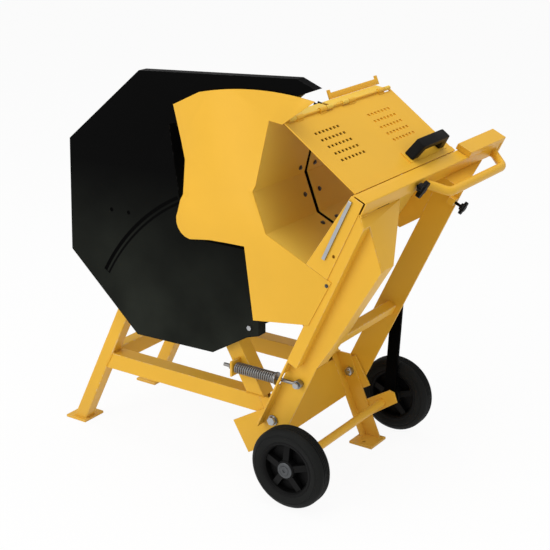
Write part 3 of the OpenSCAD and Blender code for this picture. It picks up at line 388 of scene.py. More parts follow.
def bare_metal(name, colour, rough, grain, stain):
    """Bare or plated metal: full reflection, lines or crystals of a width in millimetres, and slightly
    uneven tarnish."""
    material, tree, shader, place = blank(name)
    # Tarnish in patches of about 30 mm
    patch = add(tree, "ShaderNodeTexNoise", {"Vector": place, "Scale": per(30), "Detail": 4.0})
    tint = add(
        tree, "ShaderNodeMix",
        {"Factor": patch.outputs["Fac"], MIX_A: shade(colour, 1.08), MIX_B: shade(colour, 1.0 - stain)},
        data_type="RGBA",
    )
    # Real lines and crystals are under 0.5 mm, and are drawn at 1 to 2.5 mm so that they show
    fine = add(tree, "ShaderNodeTexNoise", {"Vector": place, "Scale": per(grain), "Detail": 2.0})
    sheen = add(
        tree, "ShaderNodeMapRange",
        {"Value": fine.outputs["Fac"], **MIDDLE, "To Min": rough - 0.08, "To Max": rough + 0.1},
    )
    bump = add(
        tree, "ShaderNodeBump", {"Height": fine.outputs["Fac"], "Strength": 0.25, "Distance": 0.2 * MM}
    )
    feed(tree, shader, {
        "Base Color": tint.outputs[MIXED], "Roughness": sheen.outputs["Result"],
        "Normal": bump.outputs["Normal"], "Metallic": 1.0,
    })
    return material


def ground_blade(name, colour):
    """Ground saw plate: rings left by the grinding wheel run round the spindle."""
    material, tree, shader, place = blank(name)
    away = add(
        tree, "ShaderNodeVectorMath", {0: place, 1: tuple(at(*SPINDLE))}, operation="SUBTRACT"
    )
    flat = add(
        tree, "ShaderNodeVectorMath", {0: away.outputs["Vector"], 1: (1, 0, 1)}, operation="MULTIPLY"
    )
    radius = add(tree, "ShaderNodeVectorMath", {0: flat.outputs["Vector"]}, operation="LENGTH")
    # Grinding lines are under 0.5 mm apart, drawn at 2.5 mm so that they show
    rings = add(
        tree, "ShaderNodeTexNoise",
        {"W": radius.outputs["Value"], "Scale": per(2.5), "Detail": 3.0}, noise_dimensions="1D",
    )
    tint = add(
        tree, "ShaderNodeMix",
        {"Factor": rings.outputs["Fac"], MIX_A: shade(colour, 0.86), MIX_B: shade(colour, 1.1)},
        data_type="RGBA",
    )
    sheen = add(
        tree, "ShaderNodeMapRange", {"Value": rings.outputs["Fac"], "To Min": 0.22, "To Max": 0.46}
    )
    bump = add(
        tree, "ShaderNodeBump", {"Height": rings.outputs["Fac"], "Strength": 0.2, "Distance": 0.2 * MM}
    )
    feed(tree, shader, {
        "Base Color": tint.outputs[MIXED], "Roughness": sheen.outputs["Result"],
        "Normal": bump.outputs["Normal"], "Metallic": 1.0,
    })
    return material


def stacked_sheets(name, colour):
    """Motor core: sheet steel stacked along the shaft, seen as fine lines across it."""
    material, tree, shader, place = blank(name)
    along = add(tree, "ShaderNodeSeparateXYZ", {"Vector": place})
    # Sheets are 0.5 mm thick, drawn at 2 mm so that they show
    lines = add(
        tree, "ShaderNodeTexNoise", {"W": along.outputs["Y"], "Scale": per(2)}, noise_dimensions="1D"
    )
    tint = add(
        tree, "ShaderNodeMix",
        {"Factor": lines.outputs["Fac"], MIX_A: shade(colour, 0.7), MIX_B: shade(colour, 1.15)},
        data_type="RGBA",
    )
    bump = add(
        tree, "ShaderNodeBump", {"Height": lines.outputs["Fac"], "Strength": 0.4, "Distance": 0.4 * MM}
    )
    feed(tree, shader, {
        "Base Color": tint.outputs[MIXED], "Roughness": 0.5,
        "Normal": bump.outputs["Normal"], "Metallic": 1.0,
    })
    return material


def moulded(name, colour, rough, grain, depth, ior, gleam):
    """Moulded plastic or rubber: an even matt grain from the mould, its width and depth in millimetres,
    and a faint dusty bloom."""
    material, tree, shader, place = blank(name)
    # Bloom in patches of about 50 mm
    bloom = add(tree, "ShaderNodeTexNoise", {"Vector": place, "Scale": per(50), "Detail": 5.0})
    tint = add(
        tree, "ShaderNodeMix",
        {"Factor": bloom.outputs["Fac"], MIX_A: shade(colour, 0.75), MIX_B: shade(colour, 1.5)},
        data_type="RGBA",
    )
    # Mould grain is about 0.5 mm, drawn at 1.6 mm and more so that it shows
    texture = add(tree, "ShaderNodeTexVoronoi", {"Vector": place, "Scale": per(grain)})
    bump = add(
        tree, "ShaderNodeBump",
        {"Height": texture.outputs["Distance"], "Strength": 0.3, "Distance": depth * MM},
    )
    sheen = add(
        tree, "ShaderNodeMapRange",
        {"Value": bloom.outputs["Fac"], **MIDDLE, "To Min": rough - 0.06, "To Max": rough + 0.08},
    )
    feed(tree, shader, {
        "Base Color": tint.outputs[MIXED], "Roughness": sheen.outputs["Result"],
        "Normal": bump.outputs["Normal"], "IOR": ior, "Specular IOR Level": gleam,
    })
    return material


def make_materials():
    """Every finish of the saw: those of the record's slots, and variants of them for single pieces."""
    f = finishes()
    return {
        # Powder coat on steel sheet and tube: even and softly glossy, dusty near the floor
        "yellow_paint": powder_coat(
            "powder_coated_steel_yellow", tuple(f.yellow),
            rough=0.38, worn=0.5, peel=0.35, gleam=0.22, dust_and_light=FLOOR_DUST,
        ),
        # The same coat, paler and duller: painted light that lifts the shade inside the trough
        "yellow_painted_light": powder_coat(
            "powder_coated_steel_yellow_painted_light", tuple(f.painted_light_yellow),
            rough=0.46, worn=0.5, peel=0.35, gleam=0.15, dust_and_light=FLOOR_DUST,
        ),
        # Black coat: deep and almost matt, with painted light: grey over its lower half
        "black_paint": powder_coat(
            "powder_coated_steel_black", tuple(f.black),
            rough=0.42, worn=0.1, peel=0.3, gleam=0.02, dust_and_light=GUARD_PAINTED_LIGHT,
        ),
        # The same coat without the painted light of its lower half: plain black, faintly grey near the floor;
        # on the groove's faces it is painted shade
        "black_without_painted_light": powder_coat(
            "powder_coated_steel_black_without_painted_light", tuple(f.black),
            rough=0.42, worn=0.0, peel=0.3, gleam=0.01, dust_and_light=TRACE_LOW_GREY,
        ),
        # Zinc plate on turned and cold-headed steel: soft bright, with small crystals
        "zinc_steel": bare_metal(
            "zinc_plated_steel_turned", tuple(f.zinc), rough=0.34, grain=2, stain=0.22
        ),
        # Ground plate: bright, with rings that catch the light
        "blade_steel": ground_blade("ground_saw_steel", tuple(f.blade)),
        # Phosphated spring wire: grey with a greasy sheen
        "spring_steel": bare_metal(
            "phosphated_spring_steel_wound", tuple(f.spring), rough=0.4, grain=1.5, stain=0.35
        ),
        # Stacked sheet steel: grey, finely lined
        "core_steel": stacked_sheets("motor_sheet_steel_stacked", tuple(f.core)),
        # Sand-cast aluminium: coarse bright grit, dull
        "motor_alloy": bare_metal(
            "sand_cast_aluminium", tuple(f.alloy), rough=0.55, grain=2.5, stain=0.25
        ),
        # Glass-filled nylon from a spark-eroded mould: black with a fine matt grain
        "black_plastic": moulded(
            "glass_filled_nylon_moulded", tuple(f.nylon),
            rough=0.46, grain=1.6, depth=0.2, ior=1.53, gleam=0.09,
        ),
        # Solid rubber: dull black, a little coarser
        "tyre_rubber": moulded(
            "solid_rubber_moulded", tuple(f.rubber),
            rough=0.62, grain=2.5, depth=0.3, ior=1.52, gleam=0.14,
        ),
        # Pressed steel caps and small screw heads: dull grey, scuffed
        "cap_steel": bare_metal(
            "pressed_steel_scuffed", tuple(f.cap), rough=0.5, grain=2, stain=0.3
        ),
        # Ground carbide: even grey with a hard sheen
        "carbide": bare_metal(
            "sintered_carbide_ground", tuple(f.carbide), rough=0.3, grain=1, stain=0.1
        ),
    }


MATERIALS = {}


def finish(slot):
    """A finish by its name, made with all the others when first asked for."""
    if not MATERIALS:
        MATERIALS.update(make_materials())
    return MATERIALS[slot]


def finished(bm, name, body, slot, nodes=(), crease=18.0, material=None):
    """Turns a bmesh into a finished piece that rides on its body and stands for its nodes."""
    mesh = bpy.data.meshes.new(name)
    bm.to_mesh(mesh)
    bm.free()
    if not mesh.polygons:
        raise RuntimeError(name + " has no faces")
    mesh.polygons.foreach_set("use_smooth", [True] * len(mesh.polygons))
    mesh.set_sharp_from_angle(angle=math.radians(crease))
    piece = bpy.data.objects.new(name, mesh)
    bpy.context.scene.collection.objects.link(piece)
    settle(piece, body, slot, nodes, material)
    return piece


def settle(piece, body, slot, nodes=(), material=None):
    """Gives a piece its finish, its body and the nodes that it stands for."""
    piece.data.materials.clear()
    piece.data.materials.append(finish(material or slot))
    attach(piece, body)
    if nodes:
        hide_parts(*nodes)


def merged(*nodes):
    """A closed copy of CAD nodes, with flat faces joined up."""
    bm = bmesh.new()
    for node in nodes:
        bm.from_mesh(frame["nodes"][node].data)
    bmesh.ops.remove_doubles(bm, verts=bm.verts, dist=NEAR)
    bmesh.ops.dissolve_limit(bm, angle_limit=FLAT, verts=bm.verts, edges=bm.edges)
    return bm


def soften(bm, edge, shortest, segments=2, split=True):
    """Rounds the long outer edges of a closed bmesh, and marks the rounded faces. Split first cuts the
    flat faces into triangles and plain quads, which rounding can't fold over."""
    if split:
        bmesh.ops.triangulate(bm, faces=bm.faces, ngon_method="BEAUTY")
        bmesh.ops.join_triangles(
            bm, faces=bm.faces, angle_face_threshold=math.radians(1), angle_shape_threshold=math.radians(60)
        )
    layer = bm.faces.layers.float.new("edge")
    keen = [
        e for e in bm.edges
        if e.is_manifold and e.is_convex and e.calc_length() > shortest
        and e.calc_face_angle() > SHARP
    ]
    made = bmesh.ops.bevel(
        bm, geom=keen, offset=edge, offset_type="OFFSET", segments=segments, profile=0.5,
        affect="EDGES", clamp_overlap=True, loop_slide=split,
    )
    for face in made["faces"]:
        face[layer] = 1.0
    return bm


def rounded(name, body, slot, nodes, edge, shortest=0.011, segments=2, split=True, material=None):
    """A copy of CAD nodes with its edges rounded, which stands for them."""
    bm = soften(merged(*nodes), edge, shortest, segments, split)
    return finished(bm, name, body, slot, nodes, material=material)


def dress(slot_by_node):
    """New finishes on CAD nodes whose shape stays."""
    for node, slot in slot_by_node.items():
        for holder in frame["nodes"][node].material_slots:
            holder.material = finish(slot)


def filleted(points, bend, steps):
    """A path of points with its corners bent to a radius."""
    path = [points[0]]
    for before, corner, after in zip(points, points[1:], points[2:]):
        a = (before - corner).normalized()
        b = (after - corner).normalized()
        half = a.angle(b) / 2
        most = 0.45 * min((before - corner).length, (after - corner).length)
        back = min(bend / math.tan(half), most)
        reach = back * math.tan(half)
        centre = corner + (a + b).normalized() * math.hypot(back, reach)
        start = corner + a * back - centre
        end = corner + b * back - centre
        turn = start.angle(end)
        for i in range(steps + 1):
            t = i / steps
            share = (start * math.sin((1 - t) * turn) + end * math.sin(t * turn)) / math.sin(turn)
            path.append(centre + share)
    path.append(points[-1])
    return path


def tube(bm, path, radius, sides):
    """Sweeps a round section along a path, without twist, and closes its ends."""
    rings = []
    across = None
    for i, point in enumerate(path):
        ahead = path[min(i + 1, len(path) - 1)]
        behind = path[max(i - 1, 0)]
        way = (ahead - behind).normalized()
        if across is None:
            across = way.orthogonal().normalized()
        across = (across - way * across.dot(way)).normalized()
        up = way.cross(across)
        ring = []
        for k in range(sides):
            a = 2 * math.pi * k / sides
            ring.append(bm.verts.new(point + (across * math.cos(a) + up * math.sin(a)) * radius))
        rings.append(ring)
    for a, b in zip(rings, rings[1:]):
        for k in range(sides):
            n = (k + 1) % sides
            bm.faces.new((a[k], a[n], b[n], b[k]))
    bm.faces.new(rings[0][::-1])
    bm.faces.new(rings[-1])
    return bm


def block(bm, corners):
    """Closes eight corners, listed with the last direction running fastest."""
    verts = [bm.verts.new(c) for c in corners]
    for f in ((0, 1, 3, 2), (4, 6, 7, 5), (0, 4, 5, 1), (2, 3, 7, 6), (0, 2, 6, 4), (1, 5, 7, 3)):
        bm.faces.new([verts[i] for i in f])
    return bm


def beside(path, gap):
    """A path in a plane, shifted sideways to the right by a gap, with mitred corners."""
    path = [Vector(p) for p in path]
    ways = [(b - a).normalized() for a, b in zip(path, path[1:])]
    shifted = []
    for i, p in enumerate(path):
        before, after = ways[max(i - 1, 0)], ways[min(i, len(ways) - 1)]
        out = Vector((before.y + after.y, -before.x - after.x)).normalized()
        shifted.append(p + out * gap / (out.x * after.y - out.y * after.x))
    return shifted


def lathe(bm, profile, x, z, mirror, steps=96):
    """Turns a closed profile of (radius, distance along Y) about an axis along Y."""
    side = -1 if mirror else 1
    rings = []
    for k in range(steps):
        a = 2 * math.pi * k / steps
        rings.append([
            bm.verts.new(at(x + r * math.sin(a), side * y, z + r * math.cos(a))) for r, y in profile
        ])
    n = len(profile)
    for k in range(steps):
        a = rings[k]
        b = rings[(k + 1) % steps]
        for i in range(n):
            j = (i + 1) % n
            bm.faces.new((a[i], b[i], b[j], a[j]))
    return bm


def outwards(bm):
    """Turns every face of a closed bmesh outwards."""
    bmesh.ops.recalc_face_normals(bm, faces=bm.faces)
    return bm


def grown(name, tree, seed_mesh, values):
    """Runs a Geometry Nodes tree on a seed mesh and keeps the result as a plain mesh."""
    piece = bpy.data.objects.new(name, seed_mesh)
    bpy.context.scene.collection.objects.link(piece)
    grow = piece.modifiers.new("grow", "NODES")
    grow.node_group = tree
    for item in tree.interface.items_tree:
        if item.item_type == "SOCKET" and item.in_out == "INPUT" and item.name in values:
            grow[item.identifier] = values[item.name]
    graph = bpy.context.evaluated_depsgraph_get()
    mesh = bpy.data.meshes.new_from_object(piece.evaluated_get(graph))
    piece.modifiers.clear()
    piece.data = mesh
    mesh.name = name
    if not mesh.polygons:
        raise RuntimeError(name + " grew no faces")
    return piece


def node_tree(name, **inputs):
    """An empty Geometry Nodes tree with named sizes."""
    tree = bpy.data.node_groups.new(name, "GeometryNodeTree")
    tree.interface.new_socket("Geometry", in_out="INPUT", socket_type="NodeSocketGeometry")
    for key, kind in inputs.items():
        tree.interface.new_socket(key, in_out="INPUT", socket_type=kind)
    tree.interface.new_socket("Geometry", in_out="OUTPUT", socket_type="NodeSocketGeometry")
    return tree, add(tree, "NodeGroupInput")


def close_tree(tree, geometry, material, smooth=True):
    """Ends a tree in a plain mesh with its shading and its finish."""
    real = add(tree, "GeometryNodeRealizeInstances", {"Geometry": geometry})
    even = add(
        tree, "GeometryNodeSetShadeSmooth", {"Geometry": real.outputs["Geometry"], "Shade Smooth": smooth}
    )
    coat = add(
        tree, "GeometryNodeSetMaterial", {"Geometry": even.outputs["Geometry"], "Material": material}
    )
    add(tree, "NodeGroupOutput", {"Geometry": coat.outputs["Geometry"]})
    return tree


def weld_tree(material):
    """Overlapping ripples along a seam, each a flattened bead of 32 faces."""
    tree, given = node_tree("weld_ripples", Pitch="NodeSocketFloat", Bead="NodeSocketFloat")
    seam = add(tree, "GeometryNodeMeshToCurve", {"Mesh": given.outputs["Geometry"]})
    marks = add(
        tree, "GeometryNodeResampleCurve",
        {"Curve": seam.outputs["Curve"], "Length": given.outputs["Pitch"]}, mode="LENGTH",
    )
    half = add(tree, "ShaderNodeMath", {0: given.outputs["Bead"], 1: 0.5}, operation="MULTIPLY")
    bead = add(
        tree, "GeometryNodeMeshUVSphere", {"Segments": 8, "Rings": 4, "Radius": half.outputs["Value"]}
    )
    way = add(tree, "GeometryNodeInputTangent")
    turn = add(tree, "FunctionNodeAlignRotationToVector", {"Vector": way.outputs["Tangent"]}, axis="Z")
    row = add(
        tree, "GeometryNodeInstanceOnPoints",
        {"Points": marks.outputs["Curve"], "Instance": bead.outputs["Mesh"],
         "Rotation": turn.outputs["Rotation"], "Scale": (1.0, 1.0, 0.7)},
    )
    return close_tree(tree, row.outputs["Instances"], material)


def screw_tree(material):
    """Hexagon heads on washers, set on points along each point's own direction."""
    tree, given = node_tree("hexagon_heads", Flats="NodeSocketFloat", Head="NodeSocketFloat")
    # Each size as a share of the width across flats or of the head's height
    shares = {
        "corner": ("Flats", HEX_CORNER), "crown": ("Flats", 0.84 * HEX_CORNER), "brim": ("Flats", 0.88),
        "thin": ("Head", 0.25), "tall": ("Head", 0.75),
    }
    size = {}
    for name, (source, share) in shares.items():
        part = add(tree, "ShaderNodeMath", {0: given.outputs[source], 1: share}, operation="MULTIPLY")
        size[name] = part.outputs["Value"]
    washer = add(
        tree, "GeometryNodeMeshCylinder", {"Vertices": 20, "Radius": size["brim"], "Depth": size["thin"]}
    )
    hexagon = add(
        tree, "GeometryNodeMeshCylinder", {"Vertices": 6, "Radius": size["corner"], "Depth": size["tall"]}
    )
    cap = add(
        tree, "GeometryNodeMeshCone",
        {"Vertices": 6, "Radius Top": size["crown"], "Radius Bottom": size["corner"], "Depth": size["thin"]},
    )
    # Each part's middle as a share of the head's height: they overlap a little
    stack = []
    for part, rise in ((washer, 0.125), (hexagon, 0.6), (cap, 0.975)):
        lift = add(tree, "ShaderNodeMath", {0: given.outputs["Head"], 1: rise}, operation="MULTIPLY")
        shift = add(tree, "ShaderNodeCombineXYZ", {"Z": lift.outputs["Value"]})
        moved = add(
            tree, "GeometryNodeTransform",
            {"Geometry": part.outputs["Mesh"], "Translation": shift.outputs["Vector"]},
        )
        stack.append(moved.outputs["Geometry"])
    head = add(tree, "GeometryNodeJoinGeometry")
    for part in stack:
        tree.links.new(part, head.inputs["Geometry"])
    aim = add(tree, "GeometryNodeInputNamedAttribute", {"Name": "aim"}, data_type="FLOAT_VECTOR")
    turn = add(tree, "FunctionNodeAlignRotationToVector", {"Vector": aim.outputs["Attribute"]}, axis="Z")
    row = add(
        tree, "GeometryNodeInstanceOnPoints",
        {"Points": given.outputs["Geometry"], "Instance": head.outputs["Geometry"],
         "Rotation": turn.outputs["Rotation"]},
    )
    return close_tree(tree, row.outputs["Instances"], material, smooth=False)


def tip_tree(material):
    """Brazed tips set evenly round a circle in the XZ plane, six faces each."""
    tree, given = node_tree(
        "tooth_tips", Count="NodeSocketInt", Radius="NodeSocketFloat", Thick="NodeSocketFloat"
    )
    ring = add(
        tree, "GeometryNodeMeshCircle",
        {"Vertices": given.outputs["Count"], "Radius": given.outputs["Radius"]}, fill_type="NONE",
    )
    long, tall = TIP[0] * MM, TIP[1] * MM
    size = add(tree, "ShaderNodeCombineXYZ", {"X": long, "Y": tall, "Z": given.outputs["Thick"]})
    tip = add(tree, "GeometryNodeMeshCube", {"Size": size.outputs["Vector"]})
    place = add(tree, "GeometryNodeInputPosition")
    turn = add(tree, "FunctionNodeAlignRotationToVector", {"Vector": place.outputs["Position"]}, axis="X")
    row = add(
        tree, "GeometryNodeInstanceOnPoints",
        {"Points": ring.outputs["Mesh"], "Instance": tip.outputs["Mesh"],
         "Rotation": turn.outputs["Rotation"]},
    )
    stand = add(
        tree, "GeometryNodeTransform",
        {"Geometry": row.outputs["Instances"], "Translation": tuple(at(*SPINDLE)),
         "Rotation": (math.radians(90), 0.0, 0.0)},
    )
    return close_tree(tree, stand.outputs["Geometry"], material, smooth=False)


def seam_mesh(name, seams):
    """Seams as loose polylines."""
    verts = []
    edges = []
    for seam in seams:
        first = len(verts)
        verts += [tuple(p) for p in seam]
        edges += [(first + i, first + i + 1) for i in range(len(seam) - 1)]
    mesh = bpy.data.meshes.new(name + "_seams")
    mesh.from_pydata(verts, edges, [])
    return mesh


def point_mesh(name, spots):
    """Points that each carry the direction they face."""
    mesh = bpy.data.meshes.new(name + "_points")
    mesh.from_pydata([tuple(p) for p, aim in spots], [], [])
    layer = mesh.attributes.new("aim", "FLOAT_VECTOR", "POINT")
    for i, (p, aim) in enumerate(spots):
        layer.data[i].vector = aim
    return mesh


def any_ray(tree, first, *others):
    """One for rays of any of these kinds, and nought for the rest."""
    path = add(tree, "ShaderNodeLightPath")
    seen = path.outputs[first]
    for kind in others:
        either = add(tree, "ShaderNodeMath", {0: seen, 1: path.outputs[kind]}, operation="MAXIMUM")
        seen = either.outputs["Value"]
    return seen


class LOGSAW_OT_stage(bpy.types.Operator):
    """Adds the pale floor, the white sky, the soft lamps and the camera"""
    bl_idname = "logsaw.stage"
    bl_label = "Stage"

    def floor(self, scene):
        """A floor that takes shadows and looks nearly white to the camera."""
        mesh = bpy.data.meshes.new("studio_floor")
        far = FLOOR_HALF
        mesh.from_pydata([(-far, -far, 0), (far, -far, 0), (far, far, 0), (-far, far, 0)], [], [(0, 1, 2, 3)])
        floor = bpy.data.objects.new("studio_floor", mesh)
        scene.collection.objects.link(floor)
        material = bpy.data.materials.new("painted_studio_floor")
        material.use_nodes = True
        tree = material.node_tree
        tree.nodes.clear()
        real = add(tree, "ShaderNodeBsdfDiffuse", {"Color": tuple(finishes().floor) + (1.0,)})
        glow = add(tree, "ShaderNodeEmission", {"Color": WHITE, "Strength": 1.0})
        seen = any_ray(tree, "Is Camera Ray", "Is Glossy Ray", "Is Transmission Ray")
        share = add(tree, "ShaderNodeMath", {0: seen, 1: FLOOR_GLOW}, operation="MULTIPLY")
        both = add(
            tree, "ShaderNodeMixShader",
            {0: share.outputs["Value"], 1: real.outputs["BSDF"], 2: glow.outputs["Emission"]},
        )
        add(tree, "ShaderNodeOutputMaterial", {"Surface": both.outputs["Shader"]})
        mesh.materials.append(material)

    def sky(self, scene):
        """A white sky, dimmer on the saw than to the camera."""
        world = bpy.data.worlds.new("studio")
        scene.world = world
        world.use_nodes = True
        tree = world.node_tree
        tree.nodes.clear()
        seen = any_ray(tree, "Is Camera Ray", "Is Transmission Ray")
        level = add(tree, "ShaderNodeMapRange", {"Value": seen, "To Min": SKY[0], "To Max": SKY[1]})
        sky = add(tree, "ShaderNodeBackground", {"Color": WHITE, "Strength": level.outputs["Result"]})
        add(tree, "ShaderNodeOutputWorld", {"Surface": sky.outputs["Background"]})

    def lamps(self, scene):
        """Large soft lamps round the saw."""
        for name, (place, size, power) in LAMPS.items():
            data = bpy.data.lights.new(name, "AREA")
            data.size = size
            data.energy = power
            lamp = bpy.data.objects.new(name, data)
            lamp.location = place
            lamp.rotation_euler = (LAMP_AIM - Vector(place)).to_track_quat("-Z", "Y").to_euler()
            scene.collection.objects.link(lamp)

    def camera(self, scene):
        """A camera at the photograph's viewing angle."""
        lens = bpy.data.cameras.new("photo_camera")
        lens.lens = CAMERA_LENS
        lens.sensor_width = SENSOR
        lens.dof.use_dof = False
        camera = bpy.data.objects.new("photo_camera", lens)
        camera.location = at(*CAMERA)
        azimuth, elevation = (math.radians(angle) for angle in CAMERA_ANGLES)
        level = math.cos(elevation)
        back = Vector((math.sin(azimuth) * level, -math.cos(azimuth) * level, math.sin(elevation)))
        camera.rotation_euler = (-back).to_track_quat("-Z", "Y").to_euler()
        scene.collection.objects.link(camera)
        scene.camera = camera

    def execute(self, context):
        scene = context.scene
        scene.view_settings.view_transform = "Standard"
        self.floor(scene)
        self.sky(scene)
        self.lamps(scene)
        self.camera(scene)
        return {"FINISHED"}


class LOGSAW_OT_frame_tubes(bpy.types.Operator):
    """Makes the drawn tubes of the base frame, with their rolled corners"""
    bl_idname = "logsaw.frame_tubes"
    bl_label = "Frame tubes"

    def execute(self, context):
        s = sizes()
        for node in ("left_legs", "rails", "posts", "head_ties", "left_cross_rail"):
            rounded(node + "_tube", "frame", "yellow_paint", [node], s.tube_corner, shortest=0.045)
        return {"FINISHED"}


class LOGSAW_OT_frame_plates(bpy.types.Operator):
    """Makes the cut plates and angles of the base frame"""
    bl_idname = "logsaw.frame_plates"
    bl_label = "Frame plates"

    def execute(self, context):
        s = sizes()
        for node in (
            "right_legs", "pivot_plates", "right_cross_plate", "foot_plates", "motor_plate", "spring_tab",
        ):
            rounded(node + "_plate", "frame", "yellow_paint", [node], s.sheet_edge)
        rounded("axle_beam_plate", "frame", "yellow_paint", ["axle_beam"], s.sheet_edge, split=False)
        rounded(
            "upright_bar_flat", "frame", "black_paint", ["upright_bar"], s.sheet_edge, material="black_without_painted_light"
        )
        return {"FINISHED"}


class LOGSAW_OT_front_cover(bpy.types.Operator):
    """Makes the black eight-sided cover with its pressed groove, whose sunk faces are painted shade, and
    black plugs in its holes as painted shade
    """
    bl_idname = "logsaw.front_cover"
    bl_label = "Front cover"

    def groove_tool(self):
        """A round bar along the groove, standing mostly in front of the cover."""
        start, run = GROOVE_RUN
        steps = 48
        path = []
        for i in range(steps + 1):
            a = math.radians(start + run * i / steps)
            x, z = SWING[0] + GROOVE_R * math.cos(a), SWING[1] + GROOVE_R * math.sin(a)
            path.append(at(x, COVER_Y - GROOVE_LIFT, z))
        bm = outwards(tube(bmesh.new(), path, GROOVE_TOOL * MM, sides=32))
        mesh = bpy.data.meshes.new("groove_tool")
        bm.to_mesh(mesh)
        bm.free()
        return bpy.data.objects.new("groove_tool", mesh)

    def execute(self, context):
        s = sizes()
        cover = rounded(
            "front_cover_sheet", "frame", "black_paint", ["front_cover"], s.sheet_edge, shortest=0.02
        )
        tool = self.groove_tool()
        context.scene.collection.objects.link(tool)
        cut = cover.modifiers.new("groove", "BOOLEAN")
        cut.object = tool
        cut.operation = "DIFFERENCE"
        cut.solver = "EXACT"
        graph = context.evaluated_depsgraph_get()
        pressed = bpy.data.meshes.new_from_object(cover.evaluated_get(graph))
        cover.modifiers.clear()
        if len(pressed.polygons) <= len(cover.data.polygons):
            raise RuntimeError("the cover's groove was not cut")
        cover.data = pressed
        bpy.data.objects.remove(tool)
        # The groove's sunk faces stay plain black, without the painted light round them: painted shade in the
        # groove
        pressed.materials.append(finish("black_without_painted_light"))
        face = at(0.0, COVER_Y, 0.0).y
        for polygon in pressed.polygons:
            deep = (polygon.center.y - face) / MM
            sunk = GROOVE_DEEP[0] < deep < GROOVE_DEEP[1]
            if sunk and GROOVE_FRONT[0] < polygon.normal.y < GROOVE_FRONT[1]:
                polygon.material_index = 1
        # Sunk black plugs close the two holes of the cover's face: painted shade inside the holes
        bm = bmesh.new()
        shade_plug = [(r, COVER_Y + deep) for r, deep in SHADE_PLUG]
        for x, z in COVER_HOLES:
            lathe(bm, shade_plug, x, z, mirror=False, steps=32)
        finished(
            outwards(bm), "cover_hole_shade_plugs", "frame", "black_paint", crease=30.0, material="black_without_painted_light"
        )
        return {"FINISHED"}


class LOGSAW_OT_blade_hood(bpy.types.Operator):
    """Finishes the two halves of the inner hood"""
    bl_idname = "logsaw.blade_hood"
    bl_label = "Blade hood"

    def execute(self, context):
        dress({"hood_rear": "black_paint", "hood_front": "black_paint"})
        return {"FINISHED"}


class LOGSAW_OT_saw_drive(bpy.types.Operator):
    """Finishes the motor, the spindle and the blade, and brazes on the tooth tips"""
    bl_idname = "logsaw.saw_drive"
    bl_label = "Saw drive"

    def execute(self, context):
        s = sizes()
        dress({
            "motor_housing": "motor_alloy", "fan_cover": "black_plastic", "terminal_box": "black_plastic",
            "stator": "core_steel", "rotor": "core_steel", "motor_bearings": "zinc_steel",
            "motor_shaft": "zinc_steel", "cooling_fan": "black_plastic", "blade": "blade_steel",
            "clamp_flanges": "zinc_steel", "arbor_nut": "zinc_steel",
        })
        tips = grown(
            "blade_tips", tip_tree(finish("carbide")), bpy.data.meshes.new("tips_seed"),
            {"Count": s.tips, "Radius": TIP_R * MM, "Thick": TIP[2] * MM},
        )
        settle(tips, "spindle", "blade_steel", material="carbide")
        return {"FINISHED"}


class LOGSAW_OT_cradle_arms(bpy.types.Operator):
    """Makes the folded arms, gussets and crossbar of the cradle"""
    bl_idname = "logsaw.cradle_arms"
    bl_label = "Cradle arms"

    def execute(self, context):
        s = sizes()
        for node, split in (("near_arm", True), ("far_arm", False)):
            rounded(
                node + "_channel", "cradle", "yellow_paint", [node], 1.6 * s.sheet_edge,
                shortest=0.012, split=split,
            )
        rounded("arm_gussets_plate", "cradle", "yellow_paint", ["arm_gussets"], s.sheet_edge)
        rounded("crossbar_tube", "cradle", "yellow_paint", ["crossbar"], s.tube_corner, shortest=0.045)
        dress({"pivot_bushes": "zinc_steel"})
        return {"FINISHED"}


class LOGSAW_OT_trough(bpy.types.Operator):
    """Makes the folded log trough with its collar, its guard sheets and the bright strip"""
    bl_idname = "logsaw.trough"
    bl_label = "Trough"

    def execute(self, context):
        s = sizes()
        # The trough's sheets and collar take the paler yellow: painted light in the trough's shade
        for node in ("trough_front", "trough_rear"):
            rounded(
                node + "_sheet", "cradle", "yellow_paint", [node], s.sheet_edge,
                shortest=0.02, material="yellow_painted_light",
            )
        # A collar runs on from the trough's floor and chute to the guard
        bm = bmesh.new()
        lines = list(zip(MOUTH, beside(MOUTH, MOUTH_SHEET)))
        for start, end in zip(lines, lines[1:]):
            block(bm, [on_cradle(u, y, w) for side in (start, end) for u, w in side for y in MOUTH_GAP])
        finished(outwards(bm), "trough_collar", "cradle", "yellow_paint", material="yellow_painted_light")
        for node in ("front_guard", "end_plate", "operator_sheet", "deflector"):
            rounded(node + "_sheet", "cradle", "yellow_paint", [node], s.sheet_edge, shortest=0.02)
        rounded(
            "slot_guards_strip", "cradle", "black_paint", ["slot_guards"], 0.5 * s.sheet_edge, shortest=0.004
        )
        rounded("steel_strip_bar", "cradle", "zinc_steel", ["steel_strip"], s.sheet_edge, shortest=0.004)
        dress({"hinge_pin": "yellow_paint"})
        return {"FINISHED"}


